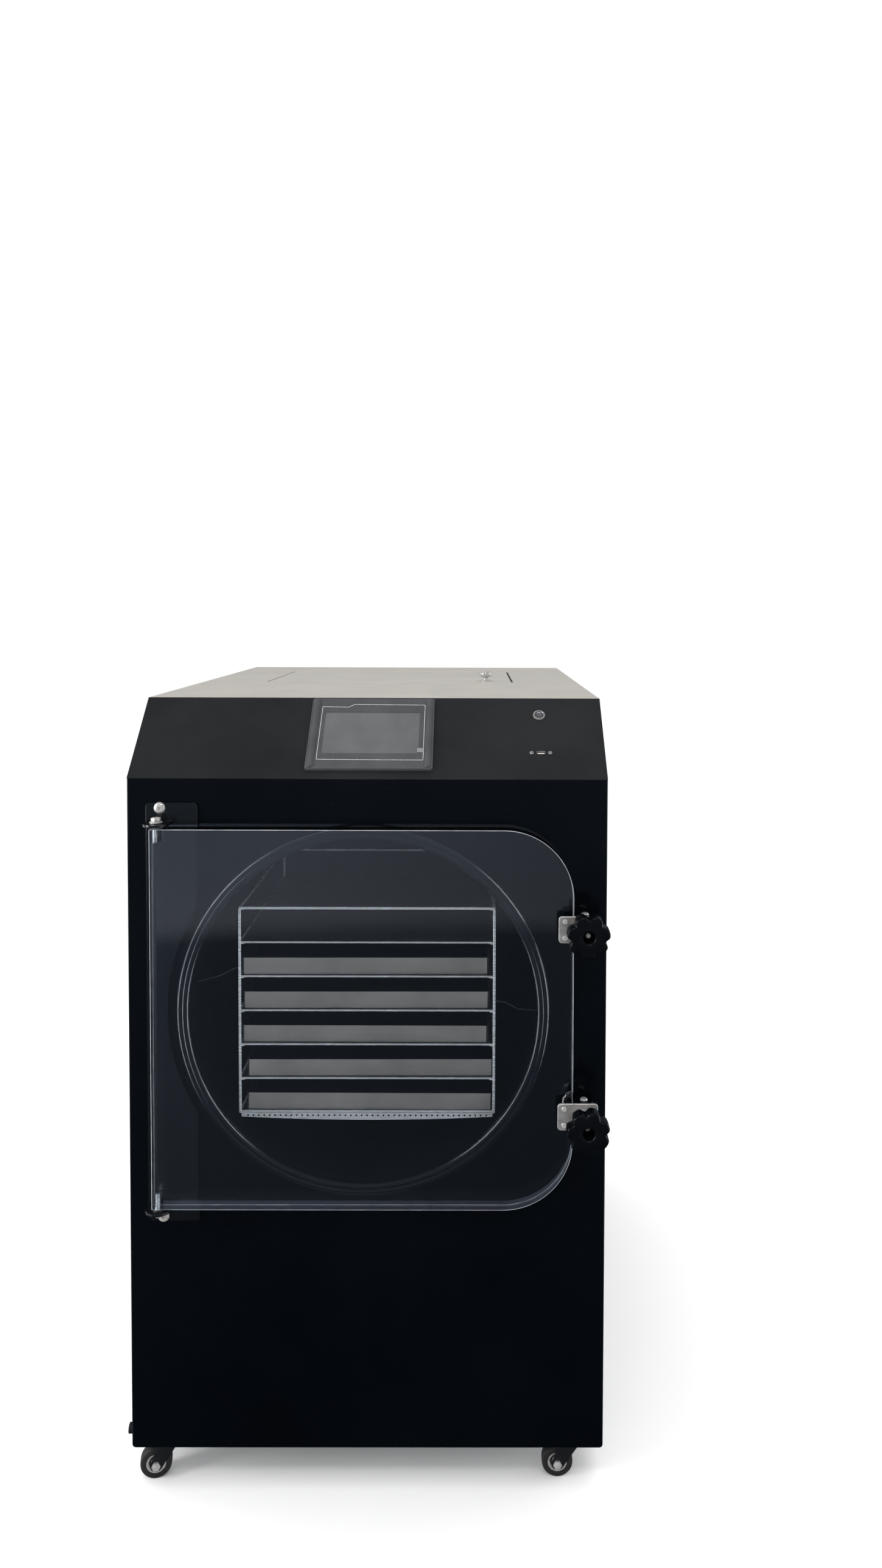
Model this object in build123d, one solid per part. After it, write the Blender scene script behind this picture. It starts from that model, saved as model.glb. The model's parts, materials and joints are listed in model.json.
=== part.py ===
from build123d import *

import math
import os

os.makedirs("parts", exist_ok=True)

# Floor-standing freeze dryer. Millimetres, +Z up, +X to the right of someone facing the door.
# Inside this file y is measured back from the front panel's face, and save() moves every piece
# so that y = 0 is the middle of the whole machine, from the lower knob to the rear fittings.

# cabinet
width = 747
depth = 1045
underside = 70  # floor to the cabinet's underside
front_top = 1141  # top edge of the upright front
slope_depth = 122
slope_rise = 116
sheet = 1.5
front_sheet = 2
return_depth = 18  # folded edges of the front panel
fold_radius = 2.4
lower_corner = 8

# frame inside the cabinet
rail = 40  # bottom rails' height and width
post = 28
frame_wall = 2
frame_front = 46
mid_rail_z = 412
saddle_plate = 6
saddle_width = 420

# chamber and what lines it
mouth_x = -5
mouth_z = 781
chamber_radius = 275
chamber_wall = 3
chamber_depth = 640
rim_reach = 6  # the rim stands this far in front of the panel
flange_width = 27
back_plate = 6
coil_tube = 5  # radius
header_tube = 6
coil_pitch = 45
foam = 30

# gasket
gasket_width = 20
gasket_reach = 13
gasket_lip = 6  # rounding of the lip

# door
door_left = -329
door_width = 648
door_bottom = 479
door_height = 590
door_thick = 25
door_corner = 107
door_gap = 0.3
edge_break = 0.8
chip_radius = 17
chip_depth = 3.6

# door hinge
hinge_inset = 8
hinge_shank = 4.5
hinge_depth = 22
hinge_plate_thick = 5
hinge_plate_left = -342.5
hinge_plate_width = 80.5
hinge_plate_over = 35  # plate beyond the door, top and bottom
hinge_ear = 4
ear_radius = 20
spacer = 3
running = 0.05  # radial clearance of a turning fit
gap = 0.3  # general clearance between pieces that move apart

# clamps
clamp_x = 337
clamp_middle = 772
clamp_half_pitch = 145
clamp_plate_wide = 62
clamp_plate_high = 41
clamp_plate_thick = 3
clamp_window_wide = 23
clamp_window_high = 22
bracket_wide = 27
bracket_high = 36
bracket_reach = 34
bracket_sheet = 3
pivot_y = -21
pivot_radius = 8
pivot_journal = 4
bolt_shank = 4
bolt_thread = 5
thread_length = 6
clamp_travel = 15
thread_pitch = 1.5
knob_radius = 32.5
knob_lobes = 7
knob_valley = 6  # depth of the hollows between the lobes
knob_scallop = 11  # their radius
knob_head = 24
knob_hub = 16
knob_hub_radius = 15
knob_hole = 9
knob_hole_depth = 22
washer_radius = 17
washer_thick = 2.4

# rack and trays
rack_x = -1.3
rack_side_room = 73.5  # between the chamber's side, at its middle, and the rack
rack_floor_room = 106.6  # between the chamber's lowest line and the middle of the bottom shelf
rack_head_room = 119.7  # between its highest line and the top frame
rack_front = 15
rack_depth = 420
bays = 6
rack_bar = 4
shelf_thick = 3
tray_side_room = 7.5
tray_end_room = 7.5
tray_height = 27
tray_wall = 1.2
tray_shifts = (-4, -2.5, -3, 4, 4.5)  # each tray sits a little off centre, top one first
tray_turns = (0.35, 0.25, -0.2, 0.3, -0.25)

# sloped control panel: u across, v up the slope from its lower edge
screen_u = 0.5
screen_v = 89
screen_bezel_wide = 200.4
screen_bezel_high = 146.5
screen_wide = 154.1
screen_high = 85.9
bezel_proud = 6
button_u = 271.5
button_v = 131
button_radius = 7
button_ring_radius = 10
button_travel = 2.5
usb_v = 52.8
usb_screw_pitch = 29.4

# top hatch
top_sheet = 2
hatch_x = -2.5
hatch_width = 495
hatch_front = 510
hatch_rear_room = 175  # top sheet left behind the opening
hatch_gap = 2.5
hatch_barrel = 2.4
hatch_pin = 1.5
hatch_knob_x = 190
hatch_knob_inset = 34

# casters
wheel_radius = 25
wheel_width = 20
caster_trail = 21
caster_x = 325
caster_inset = 42
axle_radius = 4
caster_plate_side = 60
caster_turns = (12, 0, 80, 100)  # front left, front right, rear left, rear right

# machinery
condenser_room = 225  # from the condenser's front to the rear panel
compressor_room = 210  # from the compressor's middle to the condenser's front
fan_z = 276
fan_radius = 112
shroud_side = 290
compressor_x = -170
compressor_radius = 92
drain_y = 128
drain_radius = 7
drain_reach = 12
vacuum_radius = 16
pump_x = 175
pump_y = 300
pump_inlet_x = 145
exhaust_x = 211
exhaust_z = 395
exhaust_radius = 11

half = width / 2
top = front_top + slope_rise
slope_length = math.hypot(slope_depth, slope_rise)
slope = Plane(origin=(0, 0, front_top), x_dir=(1, 0, 0), z_dir=(0, -slope_rise, slope_depth))
door_back = -(gasket_reach + door_gap)
door_front = door_back - door_thick
door_top = door_bottom + door_height
door_right = door_left + door_width
hinge_x = door_left + hinge_inset
hinge_y = door_back - door_thick / 2
drum_radius = chamber_radius + chamber_wall
rack_width = 2 * (chamber_radius - rack_side_room)
rack_bottom = mouth_z - chamber_radius + rack_floor_room
bay_height = (2 * chamber_radius - rack_floor_room - rack_head_room) / bays
tray_width = rack_width - 2 * tray_side_room
tray_depth = rack_depth - 2 * tray_end_room
hatch_depth = depth - hatch_front - hatch_rear_room
condenser_y = depth - condenser_room
compressor_y = condenser_y - compressor_room
coil_radius = drum_radius + coil_tube + gap
header_radius = coil_radius + coil_tube + header_tube + gap
jacket_inner = header_radius + header_tube + 2 * gap
jacket_radius = jacket_inner + foam
plate_face = door_front - clamp_plate_thick
knob_back = plate_face - washer_thick - 2 * gap
knob_length = knob_head + knob_hub
frame_top = top - top_sheet
rear_reach = 14  # the exhaust stub behind the rear panel
front_reach = -(knob_back - knob_length - clamp_travel)
post_front = slope_depth + 26  # the front posts stand just behind the control panel
middle_y = (depth + rear_reach - front_reach) / 2


def save(name, *pieces):
    """Writes one node: each solid of the pieces, moved into the machine's own frame."""
    solids = [s for piece in pieces for s in piece.solids()]
    shape = solids[0] if len(solids) == 1 else Compound(children=solids)
    export_step(shape.moved(Location((0, -middle_y, 0))), f"parts/{name}.step")
    print(name, len(solids))


def block(x0, x1, y0, y1, z0, z1):
    return Pos((x0 + x1) / 2, (y0 + y1) / 2, (z0 + z1) / 2) * Box(x1 - x0, y1 - y0, z1 - z0)


def rod_x(radius, x0, x1, y, z):
    return Pos((x0 + x1) / 2, y, z) * Rot(0, 90, 0) * Cylinder(radius, x1 - x0)


def rod_y(radius, y0, y1, x, z):
    return Pos(x, (y0 + y1) / 2, z) * Rot(90, 0, 0) * Cylinder(radius, y1 - y0)


def rod_z(radius, z0, z1, x, y):
    return Pos(x, y, (z0 + z1) / 2) * Cylinder(radius, z1 - z0)


def drum(radius, y0, y1):
    """A round of that radius on the chamber's axis."""
    return rod_y(radius, y0, y1, mouth_x, mouth_z)


def tube(points, radius, bore, bend):
    """A pipe along straight runs with rounded corners. Its ends are square to the runs."""
    path = FilletPolyline(*points, radius=bend)
    start = Plane(origin=path @ 0, z_dir=path % 0)
    pipe = sweep(start * Circle(radius), path=path)
    return pipe - sweep(start * Circle(bore), path=path) if bore else pipe


def on_slope(shape):
    return slope.location * shape


def pad(u, v, wide, high, w0, w1):
    """A block on the sloped panel, w measured outwards from its face."""
    return Pos(u, v, (w0 + w1) / 2) * Box(wide, high, w1 - w0)


def peg(u, v, radius, w0, w1):
    return Pos(u, v, (w0 + w1) / 2) * Cylinder(radius, w1 - w0)


# ---- cabinet -------------------------------------------------------------------------------


def hinge_screw_places():
    over = hinge_plate_over - 8
    return [(hinge_x, door_top + over), (hinge_x + 2, door_bottom - over)]


def front_panel():
    pan = block(-half, half, 0, return_depth, underside, front_top)
    upright = pan.edges().filter_by(Axis.Z).group_by(Axis.Y)[0]
    pan = fillet(upright, fold_radius)
    lower = pan.edges().filter_by(Axis.Y).group_by(Axis.Z)[0]
    pan = fillet(lower, lower_corner)
    inside = block(-half + sheet, half - sheet, front_sheet, return_depth, underside + sheet, front_top)
    corners = inside.edges().filter_by(Axis.Y).group_by(Axis.Z)[0]
    pan -= fillet(corners, lower_corner - sheet)
    pan -= drum(drum_radius + 1, -1, front_sheet + 1)
    return pan - [rod_y(4 + running, -1, front_sheet + 1, x, z) for x, z in hinge_screw_places()]


def control_panel():
    panel = on_slope(pad(0, slope_length / 2, width, slope_length + 20, -front_sheet, 0))
    panel &= block(-half, half, -5, slope_depth, front_top, top)
    holes = [
        pad(screen_u, screen_v, screen_bezel_wide - 8, screen_bezel_high - 8, -9, 9),
        peg(button_u, button_v, button_radius + 1.5, -9, 9),
        pad(button_u, usb_v, 13.8, 6.4, -9, 9),
        peg(button_u - usb_screw_pitch / 2, usb_v, 1.6, -9, 9),
        peg(button_u + usb_screw_pitch / 2, usb_v, 1.6, -9, 9),
    ]
    return panel - [on_slope(hole) for hole in holes]


def side_outline():
    """The side panel's shape, under the sloped panel and behind the front panel's folds."""
    lift = front_sheet * slope_length / slope_depth  # upright thickness of the sloped panel
    run = front_sheet * slope_length / slope_rise
    return [
        (return_depth, underside),
        (depth, underside),
        (depth, frame_top),
        (slope_depth + (lift - top_sheet) * slope_depth / slope_rise, frame_top),
        (run, front_top),
        (return_depth, front_top),
    ]


def side_panel(x, vent_rows=9):
    outline = Plane.YZ.offset(x) * Polygon(*side_outline(), align=None)
    panel = extrude(outline, amount=sheet)
    slots = []
    for row in range(vent_rows):
        z = 170 + row * 24
        for y in (compressor_y + 30, compressor_y + 190):
            slots.append(block(x - 1, x + sheet + 1, y, y + 120, z, z + 7))
    return panel - slots


def left_side_panel():
    return side_panel(-half) - rod_x(drain_radius + 1.2, -half - 1, -half + 3, drain_out_y(), drain_out_z())


def rear_panel():
    panel = block(-half + sheet, half - sheet, depth - sheet, depth, underside + front_sheet, frame_top)
    slots = []
    for row in range(11):
        z = fan_z - 110 + row * 22
        across = math.sqrt(max(0, 122**2 - (z + 4 - fan_z) ** 2))
        slots.append(block(-across, across, depth - 5, depth + 5, z, z + 9))
    for row in range(6):
        slots.append(block(-150, 150, depth - 5, depth + 5, 1110 + row * 20, 1117 + row * 20))
    inlet = block(*inlet_cut())
    exhaust = rod_y(exhaust_radius + 0.5, depth - 5, depth + 5, exhaust_x, exhaust_z)
    return panel - slots - inlet - exhaust


def top_panel():
    panel = block(-half, half, slope_depth, depth, frame_top, top)
    x0, x1, y0, y1 = hatch_opening()
    return panel - block(x0, x1, y0, y1, frame_top - 1, top + 1)


def floor_pan():
    x = half - sheet
    pan = block(-x, x, return_depth, depth - sheet, underside, underside + front_sheet)
    rows = [condenser_y - 80 + 30 * i for i in range(3)]
    slots = [block(-150, 150, y, y + 10, underside - 1, underside + 5) for y in rows]
    return pan - slots


def hollow(x0, x1, y0, y1, z0, z1, along):
    """A square tube; along is the axis that its bore runs."""
    w = frame_wall
    inner = {
        "x": (x0, x1, y0 + w, y1 - w, z0 + w, z1 - w),
        "y": (x0 + w, x1 - w, y0, y1, z0 + w, z1 - w),
        "z": (x0 + w, x1 - w, y0 + w, y1 - w, z0, z1),
    }[along]
    return block(x0, x1, y0, y1, z0, z1) - block(*inner)


def base_frame():
    low = underside + front_sheet
    high = low + rail
    side = half - sheet - gap
    front = frame_front
    rear = depth - 30
    parts = []
    for sign in (-1, 1):
        a, b = sorted((sign * side, sign * (side - rail)))
        c, d = sorted((sign * side, sign * (side - post)))
        parts.append(hollow(a, b, front, rear, low, high, "y"))
        for y in (post_front, rear - post):
            parts.append(hollow(c, d, y, y + post, high, frame_top, "z"))
        for z in (mid_rail_z, frame_top - post):
            parts.append(hollow(c, d, post_front + post, rear - post, z, z + post, "y"))
    inner = side - rail
    for y in (front, compressor_y - 140, compressor_y + 105, condenser_y + 30, rear - rail):
        parts.append(hollow(-inner, inner, y, y + rail, low, high, "x"))
    inner = side - post
    for y in (post_front, hatch_front - 44, rear - post):
        parts.append(hollow(-inner, inner, y, y + post, frame_top - post, frame_top, "x"))
    for y in (post_front, 480):
        parts.append(hollow(-inner, inner, y, y + post, mid_rail_z, mid_rail_z + post, "x"))
        parts.append(saddle(y + post / 2))
    frame = parts[0]
    for piece in parts[1:]:
        frame += piece
    return frame


def saddle(y):
    """An upright plate with a round seat that carries the jacketed chamber."""
    low = mid_rail_z + post
    x = mouth_x
    wide = saddle_width / 2
    plate = block(x - wide, x + wide, y - saddle_plate / 2, y + saddle_plate / 2, low, low + 130)
    return plate - drum(jacket_radius + 0.05, y - 10, y + 10)


# ---- chamber -------------------------------------------------------------------------------


def chamber_shell():
    """The drum with its drain hole, and a narrow ledge under each lower edge of the rack."""
    shell = drum(drum_radius, -rim_reach, chamber_depth)
    shell -= drum(chamber_radius, -rim_reach - 1, chamber_depth + 1)
    shell -= rod_z(drain_radius, mouth_z - drum_radius - 5, mouth_z - chamber_radius + 20, mouth_x, drain_y)
    seat = rack_bottom - shelf_thick / 2 - gap
    y0, y1 = rack_front + 46, rack_front + rack_depth - 4
    for side in (-1, 1):
        edge = rack_x + side * (rack_width / 2 - 7)
        a, b = sorted((edge, edge + side * 40))
        shell += block(a, b, y0, y1, seat - 3, seat) & drum(chamber_radius + chamber_wall / 2, y0, y1)
    return shell


def chamber_ends():
    """The back plate with the pump's port, and the flange that holds the drum behind the front panel."""
    plate = drum(drum_radius, chamber_depth, chamber_depth + back_plate)
    plate -= drum(vacuum_radius - 2, chamber_depth - 1, chamber_depth + back_plate + 1)
    flange = drum(drum_radius + flange_width, front_sheet, front_sheet + 6)
    return plate, flange - drum(drum_radius + 0.1, 0, front_sheet + 7)


def door_gasket():
    middle = chamber_radius + chamber_wall / 2 + 2.5
    outer = middle + gasket_width / 2
    ring = drum(outer, -gasket_reach, 0) - drum(outer - gasket_width, -gasket_reach - 1, 1)
    ring = fillet(ring.edges().group_by(Axis.Y)[0], gasket_lip)
    groove = drum(drum_radius, -rim_reach, 1) - drum(chamber_radius, -rim_reach - 1, 2)
    return ring - groove


def header_places():
    r = header_radius
    return [(mouth_x + r * math.cos(a), mouth_z + r * math.sin(a)) for a in header_angles()]


def header_angles():
    return (math.radians(52), math.radians(128))


def evaporator_coil():
    """Copper rings round the drum, and the two headers that lie along them."""
    turns = int((chamber_depth - 100) / coil_pitch) + 1
    ring = Rot(90, 0, 0) * Torus(coil_radius, coil_tube)
    rings = [Pos(mouth_x, 60 + i * coil_pitch, mouth_z) * ring for i in range(turns)]
    return rings + [rod_y(header_tube, 50, jacket_end() + 12, x, z) for x, z in header_places()]


def jacket_end():
    return chamber_depth + back_plate + foam


def foam_jacket():
    end = jacket_end()
    foam_round = drum(jacket_radius, 20, end) - drum(jacket_inner, 19, chamber_depth + back_plate + gap)
    foam_round -= drum(vacuum_radius + 3, chamber_depth, end + 1)
    foam_round -= [rod_y(header_tube + gap, chamber_depth, end + 1, x, z) for x, z in header_places()]
    return foam_round - rod_z(drain_radius + 2, mouth_z - jacket_radius - 5, mouth_z - 200, mouth_x, drain_y)


def shelf_level(i):
    """Top face of shelf i, counted from the bottom; the last is the open top frame."""
    return rack_bottom + i * bay_height + shelf_thick / 2


def rack_frame():
    b = rack_bar
    x0, x1 = rack_x - rack_width / 2, rack_x + rack_width / 2
    y0, y1 = rack_front, rack_front + rack_depth
    low, high = rack_bottom - shelf_thick / 2, rack_bottom + bays * bay_height + b / 2
    bars = [block(x, x + b, y, y + b, low, high) for x in (x0, x1 - b) for y in (y0, y1 - b)]
    for i in range(bays + 1):
        z = shelf_level(i)
        for x in (x0, x1 - b):
            bars.append(block(x, x + b, y0, y1, z - shelf_thick, z))
    z = shelf_level(bays)
    for y in (y0, y1 - b):
        bars.append(block(x0, x1, y, y + b, z - shelf_thick, z))
    frame = bars[0]
    for bar in bars[1:]:
        frame += bar
    shelves = [
        block(x0 + b, x1 - b, y0, y1, shelf_level(i) - shelf_thick, shelf_level(i)) for i in range(bays)
    ]
    return [frame] + shelves


def tray(index):
    """Tray 1 rests on the shelf below the empty top bay, tray 5 on the bottom shelf."""
    level = shelf_level(bays - 2 - index)
    body = Box(tray_width, tray_depth, tray_height, align=(Align.CENTER, Align.CENTER, Align.MIN))
    body = fillet(body.edges().filter_by(Axis.Z), 6)
    cavity = Pos(0, 0, tray_wall) * Box(
        tray_width - 2 * tray_wall,
        tray_depth - 2 * tray_wall,
        tray_height,
        align=(Align.CENTER, Align.CENTER, Align.MIN),
    )
    body -= fillet(cavity.edges().filter_by(Axis.Z), 6 - tray_wall)
    place = Pos(rack_x + tray_shifts[index], rack_front + 5 + tray_depth / 2, level)
    return place * Rot(0, 0, tray_turns[index]) * body


def perforated_strip():
    """A bent strip under the bottom shelf's front edge, bowed down in the middle, with small holes."""
    level = shelf_level(0) - shelf_thick
    wide = rack_width / 2 - rack_bar
    y0 = rack_front + 1
    sag = 11
    edge = 6
    outline = make_face(
        [
            Polyline((-wide, -edge), (-wide, 0), (wide, 0), (wide, -edge)),
            ThreePointArc((wide, -edge), (0, -sag), (-wide, -edge)),
        ]
    )
    front = Plane(origin=(rack_x, y0, level), x_dir=(1, 0, 0), z_dir=(0, -1, 0))
    strip = extrude(front * outline, amount=-1.2)
    strip += block(rack_x - wide, rack_x + wide, y0, y0 + 40, level - 1.2, level)
    holes = []
    count = 45
    for i in range(count):
        x = rack_x - wide + 10 + i * (2 * wide - 20) / (count - 1)
        holes.append(rod_y(1.5, y0 - 2, y0 + 4, x, level - 4))
    return strip - holes


def sensor_leads():
    x0, x1 = rack_x - rack_width / 2, rack_x + rack_width / 2
    leads = []
    for x, side, level, end in ((x0, -1, 4, mouth_z + 22), (x1, 1, 3, mouth_z - 24)):
        z = shelf_level(level) - shelf_thick / 2
        wall = mouth_x + side * (math.sqrt(chamber_radius**2 - (end - mouth_z) ** 2) - 0.5)
        bends = [(x + side * 16, 60, z - 2), (x + side * 38, 62, z - 14)]
        leads.append(tube([(x + side * gap, 60, z), *bends, (wall, 66, end)], 1.1, 0, 9))
    return leads


def drain_out_y():
    return return_depth + drain_radius + 3


def drain_out_z():
    return underside + 15


def drain_pipe():
    """From the chamber floor down, forward and out at the lower left, ending in a short hose nozzle."""
    x, y, z = mouth_x, drain_out_y(), drain_out_z()
    start = mouth_z - math.sqrt(drum_radius**2 - drain_radius**2)
    path = [(x, drain_y, start), (x, drain_y, 300), (x, y, 200), (x, y, z), (-half - drain_reach, y, z)]
    pipe = tube(path, drain_radius - 1, drain_radius - 2.5, [40, 40, 14])
    collar = rod_x(drain_radius + 1, -half - drain_reach, -half - gap, y, z)
    collar -= rod_x(drain_radius - 0.9, -half - drain_reach - 1, -half, y, z)
    return pipe, collar


# ---- door, hinge and clamps ----------------------------------------------------------------


def door_panel():
    high, wide = door_height / 2, door_width / 2
    outline = Rectangle(door_width, door_height)
    right = outline.vertices().group_by(Axis.X)[-1]
    outline = fillet(right, door_corner)
    middle = (door_left + wide, door_back, door_bottom + high)
    pane = extrude(Plane(origin=middle, x_dir=(1, 0, 0), z_dir=(0, -1, 0)) * outline, amount=door_thick)
    rims = pane.edges().group_by(Axis.Y)
    pane = chamfer(rims[0] + rims[-1], edge_break)
    bore = hinge_depth + 0.5
    for z0, z1 in ((door_top - bore, door_top + 1), (door_bottom - 1, door_bottom + bore)):
        pane -= rod_z(hinge_shank + running, z0, z1, hinge_x, hinge_y)
    ball = (chip_radius**2 + chip_depth**2) / (2 * chip_depth)
    chip_z = clamp_heights()[1] + clamp_plate_high / 2 + 2
    return pane - Pos(door_right, door_front - ball + chip_depth, chip_z) * Sphere(ball)


def hinge_plate():
    x0, x1 = hinge_plate_left, hinge_plate_left + hinge_plate_width
    low, high = door_bottom - hinge_plate_over, door_top + hinge_plate_over
    plate = block(x0, x1, -hinge_plate_thick, 0, low, high)
    plate = fillet(plate.edges().filter_by(Axis.Y), 7)
    gasket_outer = chamber_radius + chamber_wall / 2 + 2.5 + gasket_width / 2
    plate -= drum(gasket_outer + 14, -hinge_plate_thick - 1, 1)
    for low, high in ear_levels():
        ear = block(hinge_x - ear_radius, hinge_x + ear_radius, hinge_y, -hinge_plate_thick, low, high)
        ear += rod_z(ear_radius, low, high, hinge_x, hinge_y)
        plate += ear - rod_z(hinge_shank, low - 1, high + 1, hinge_x, hinge_y)
    return plate - [rod_y(4, -hinge_plate_thick - 1, 1, x, z) for x, z in hinge_screw_places()]


def ear_levels():
    off = gap + spacer
    return [(door_top + off, door_top + off + hinge_ear), (door_bottom - off - hinge_ear, door_bottom - off)]


def hinge_bolt(sign, ear_face, door_edge):
    """A shouldered bolt with its head outside the ear and its shank in the door's edge."""

    def span(a, b):
        return min(a, b), max(a, b)

    tip = door_edge - sign * hinge_depth
    low, high = span(tip, ear_face + sign * 2)
    shank = rod_z(hinge_shank, low, high, hinge_x, hinge_y)
    end = shank.edges().group_by(Axis.Z)[0 if sign > 0 else -1]
    shank = chamfer(end, 1.5)
    low, high = span(ear_face + sign * 2, ear_face + sign * 8)
    shank += extrude(Plane.XY.offset(low) * Pos(hinge_x, hinge_y) * RegularPolygon(8, 6), amount=high - low)
    low, high = span(ear_face, ear_face + sign * 2)
    washer = rod_z(10, low, high, hinge_x, hinge_y) - rod_z(hinge_shank, low - 1, high + 1, hinge_x, hinge_y)
    low, high = span(door_edge + sign * gap, door_edge + sign * (gap + spacer))
    ring = rod_z(9, low, high, hinge_x, hinge_y) - rod_z(hinge_shank, low - 1, high + 1, hinge_x, hinge_y)
    return [shank, washer, ring]


def cross_screw(x, z):
    head = rod_y(9, -hinge_plate_thick - 5, -hinge_plate_thick, x, z)
    head = fillet(head.edges().group_by(Axis.Y)[0], 3.4)
    slots = [block(-4, 4, -0.8, 0.8, -2, 2), block(-0.8, 0.8, -4, 4, -2, 2)]
    face = Pos(x, -hinge_plate_thick - 5, z) * Rot(90, 0, 0)
    head -= [face * slot for slot in slots]
    return head + rod_y(4, -hinge_plate_thick, 12, x, z)


def hinge_fasteners():
    (top_low, top_high), (bottom_low, bottom_high) = ear_levels()
    pieces = hinge_bolt(1, top_high, door_top) + hinge_bolt(-1, bottom_low, door_bottom)
    return pieces + [cross_screw(x, z) for x, z in hinge_screw_places()]


def clamp_heights():
    return [clamp_middle + clamp_half_pitch, clamp_middle - clamp_half_pitch]


def clamp_plate(z):
    """A polished plate on the door's front, reaching past its edge, with a window for the bolt."""
    x0 = clamp_x + 20 - clamp_plate_wide
    h = clamp_plate_high / 2
    plate = block(x0, x0 + clamp_plate_wide, plate_face, door_front, z - h, z + h)
    plate = fillet(plate.edges().filter_by(Axis.Y), 5)
    plate = chamfer(plate.edges().group_by(Axis.Y)[0], 0.8)
    x1 = clamp_x + 15
    w = clamp_window_high / 2
    window = block(x1 - clamp_window_wide, x1, plate_face - 1, door_front + 1, z - w, z + w)
    plate -= fillet(window.edges().filter_by(Axis.Y), 3)
    return plate - [rod_y(2.5, plate_face - 1, door_front + 1, clamp_x - 32, z + dz) for dz in (-12.5, 12.5)]


def clamp_plate_fixings(z):
    """Two short rivets, and the keeper strip behind the window that the bolt's end can't pass."""
    pieces = []
    for dz in (-12.5, 12.5):
        rivet = rod_y(4, plate_face - 1.6, plate_face, clamp_x - 32, z + dz)
        rivet = fillet(rivet.edges().group_by(Axis.Y)[0], 1.2)
        pieces.append(rivet + rod_y(2.5, plate_face, door_front, clamp_x - 32, z + dz))
    keeper = block(clamp_x - 6, clamp_x + 6, door_front, door_front + 2, z - 16.5, z + 16.5)
    pieces.append(keeper - rod_y(bolt_shank + gap, door_front - 1, door_front + 3, clamp_x, z))
    return pieces


def clamp_bracket(z):
    """A black clevis on the cabinet: a back plate and two ears."""
    w, h = bracket_wide / 2, bracket_high / 2
    bracket = block(clamp_x - w, clamp_x + w, -bracket_sheet, 0, z - h, z + h)
    for low in (z - h, z + h - bracket_sheet):
        ear = block(clamp_x - w, clamp_x + w, -bracket_reach, 0, low, low + bracket_sheet)
        corners = ear.edges().filter_by(Axis.Z).group_by(Axis.Y)[0]
        bracket += chamfer(corners, 6)
    return bracket - rod_z(pivot_journal + running, z - h - 1, z + h + 1, clamp_x, pivot_y)


def clamp_pivot(z):
    """The upright round nut between the ears, with its journals and chrome end caps."""
    h = bracket_high / 2
    body = h - bracket_sheet - gap
    nut = rod_z(pivot_radius, z - body, z + body, clamp_x, pivot_y)
    nut += rod_z(pivot_journal, z - h - gap, z + h + gap, clamp_x, pivot_y)
    for low in (z + h + gap, z - h - gap - 3.4):
        cap = rod_z(6, low, low + 3.4, clamp_x, pivot_y)
        nut += fillet(cap.edges().group_by(Axis.Z)[-1 if low > z else 0], 1.4)
    return nut - rod_y(bolt_thread + 0.6, pivot_y - 12, pivot_y + 12, clamp_x, z)


def clamp_washer(z, out):
    y = knob_back + gap - out
    ring = rod_y(washer_radius, y, y + washer_thick, clamp_x, z)
    return ring - rod_y(bolt_shank + gap, y - 1, y + washer_thick + 1, clamp_x, z)


def clamp_knob(z, out, turn):
    """A lobed hand knob with a hub behind it and a through hole down to the bolt's end."""
    back = knob_back - out
    outline = Circle(knob_radius)
    far = knob_radius - knob_valley + knob_scallop
    for i in range(knob_lobes):
        angle = math.radians(turn + (i + 0.5) * 360 / knob_lobes)
        outline -= Pos(far * math.cos(angle), far * math.sin(angle)) * Circle(knob_scallop)
    outline = fillet(outline.vertices(), knob_scallop * 0.4)
    face = Plane(origin=(clamp_x, back - knob_hub, z), x_dir=(1, 0, 0), z_dir=(0, -1, 0))
    head = extrude(face * outline, amount=knob_head)
    head = fillet(head.edges().group_by(Axis.Y)[0], 3)
    knob = head + rod_y(knob_hub_radius, back - knob_hub, back, clamp_x, z)
    front = back - knob_length
    knob -= rod_y(knob_hole, front - 1, front + knob_hole_depth, clamp_x, z)
    knob = fillet(knob.edges().group_by(Axis.Y)[0].filter_by(GeomType.CIRCLE), 1.2)
    return knob - rod_y(bolt_shank, front, back + 1, clamp_x, z)


def clamp_bolt(z, out):
    """The bolt held in the knob: its end shows in the knob's hole, its short thread is at the tip."""
    back = knob_back - out
    front_end = back - knob_length + knob_hole_depth - 3
    tip = door_front + 2 + gap + clamp_travel + thread_length - out
    bolt = rod_y(bolt_shank, front_end, tip - thread_length, clamp_x, z)
    thread = rod_y(bolt_thread, tip - thread_length, tip, clamp_x, z)
    return bolt + chamfer(thread.edges().group_by(Axis.Y)[-1], 1)


# ---- control panel fittings ----------------------------------------------------------------


def screen_bezel():
    wide, high = screen_bezel_wide, screen_bezel_high
    frame = pad(0, 0, wide, high, 0, bezel_proud)
    frame = fillet(frame.edges().filter_by(Axis.Z), 4)
    frame = fillet(frame.edges().group_by(Axis.Z)[-1], 1.6)
    for side in (-1, 1):
        ridge = Pos(side * (wide / 2 - 8), 0, bezel_proud - 2) * Rot(90, 0, 0) * Cylinder(6, high - 3)
        frame += fillet(ridge.edges(), 2) & pad(side * (wide / 2 - 8), 0, 14, high, 1, 20)
    frame -= pad(0, 0, screen_wide + 8.4, screen_high + 8.4, bezel_proud - 2.6, 20)
    frame -= pad(0, 0, screen_wide, screen_high, -1, 20)
    return on_slope(Pos(screen_u, screen_v, 0) * frame)


def screen_glass():
    glass = pad(0, 0, screen_wide + 8, screen_high + 8, bezel_proud - 2.6, bezel_proud - 0.8)
    return on_slope(Pos(screen_u, screen_v, 0) * glass)


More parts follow.
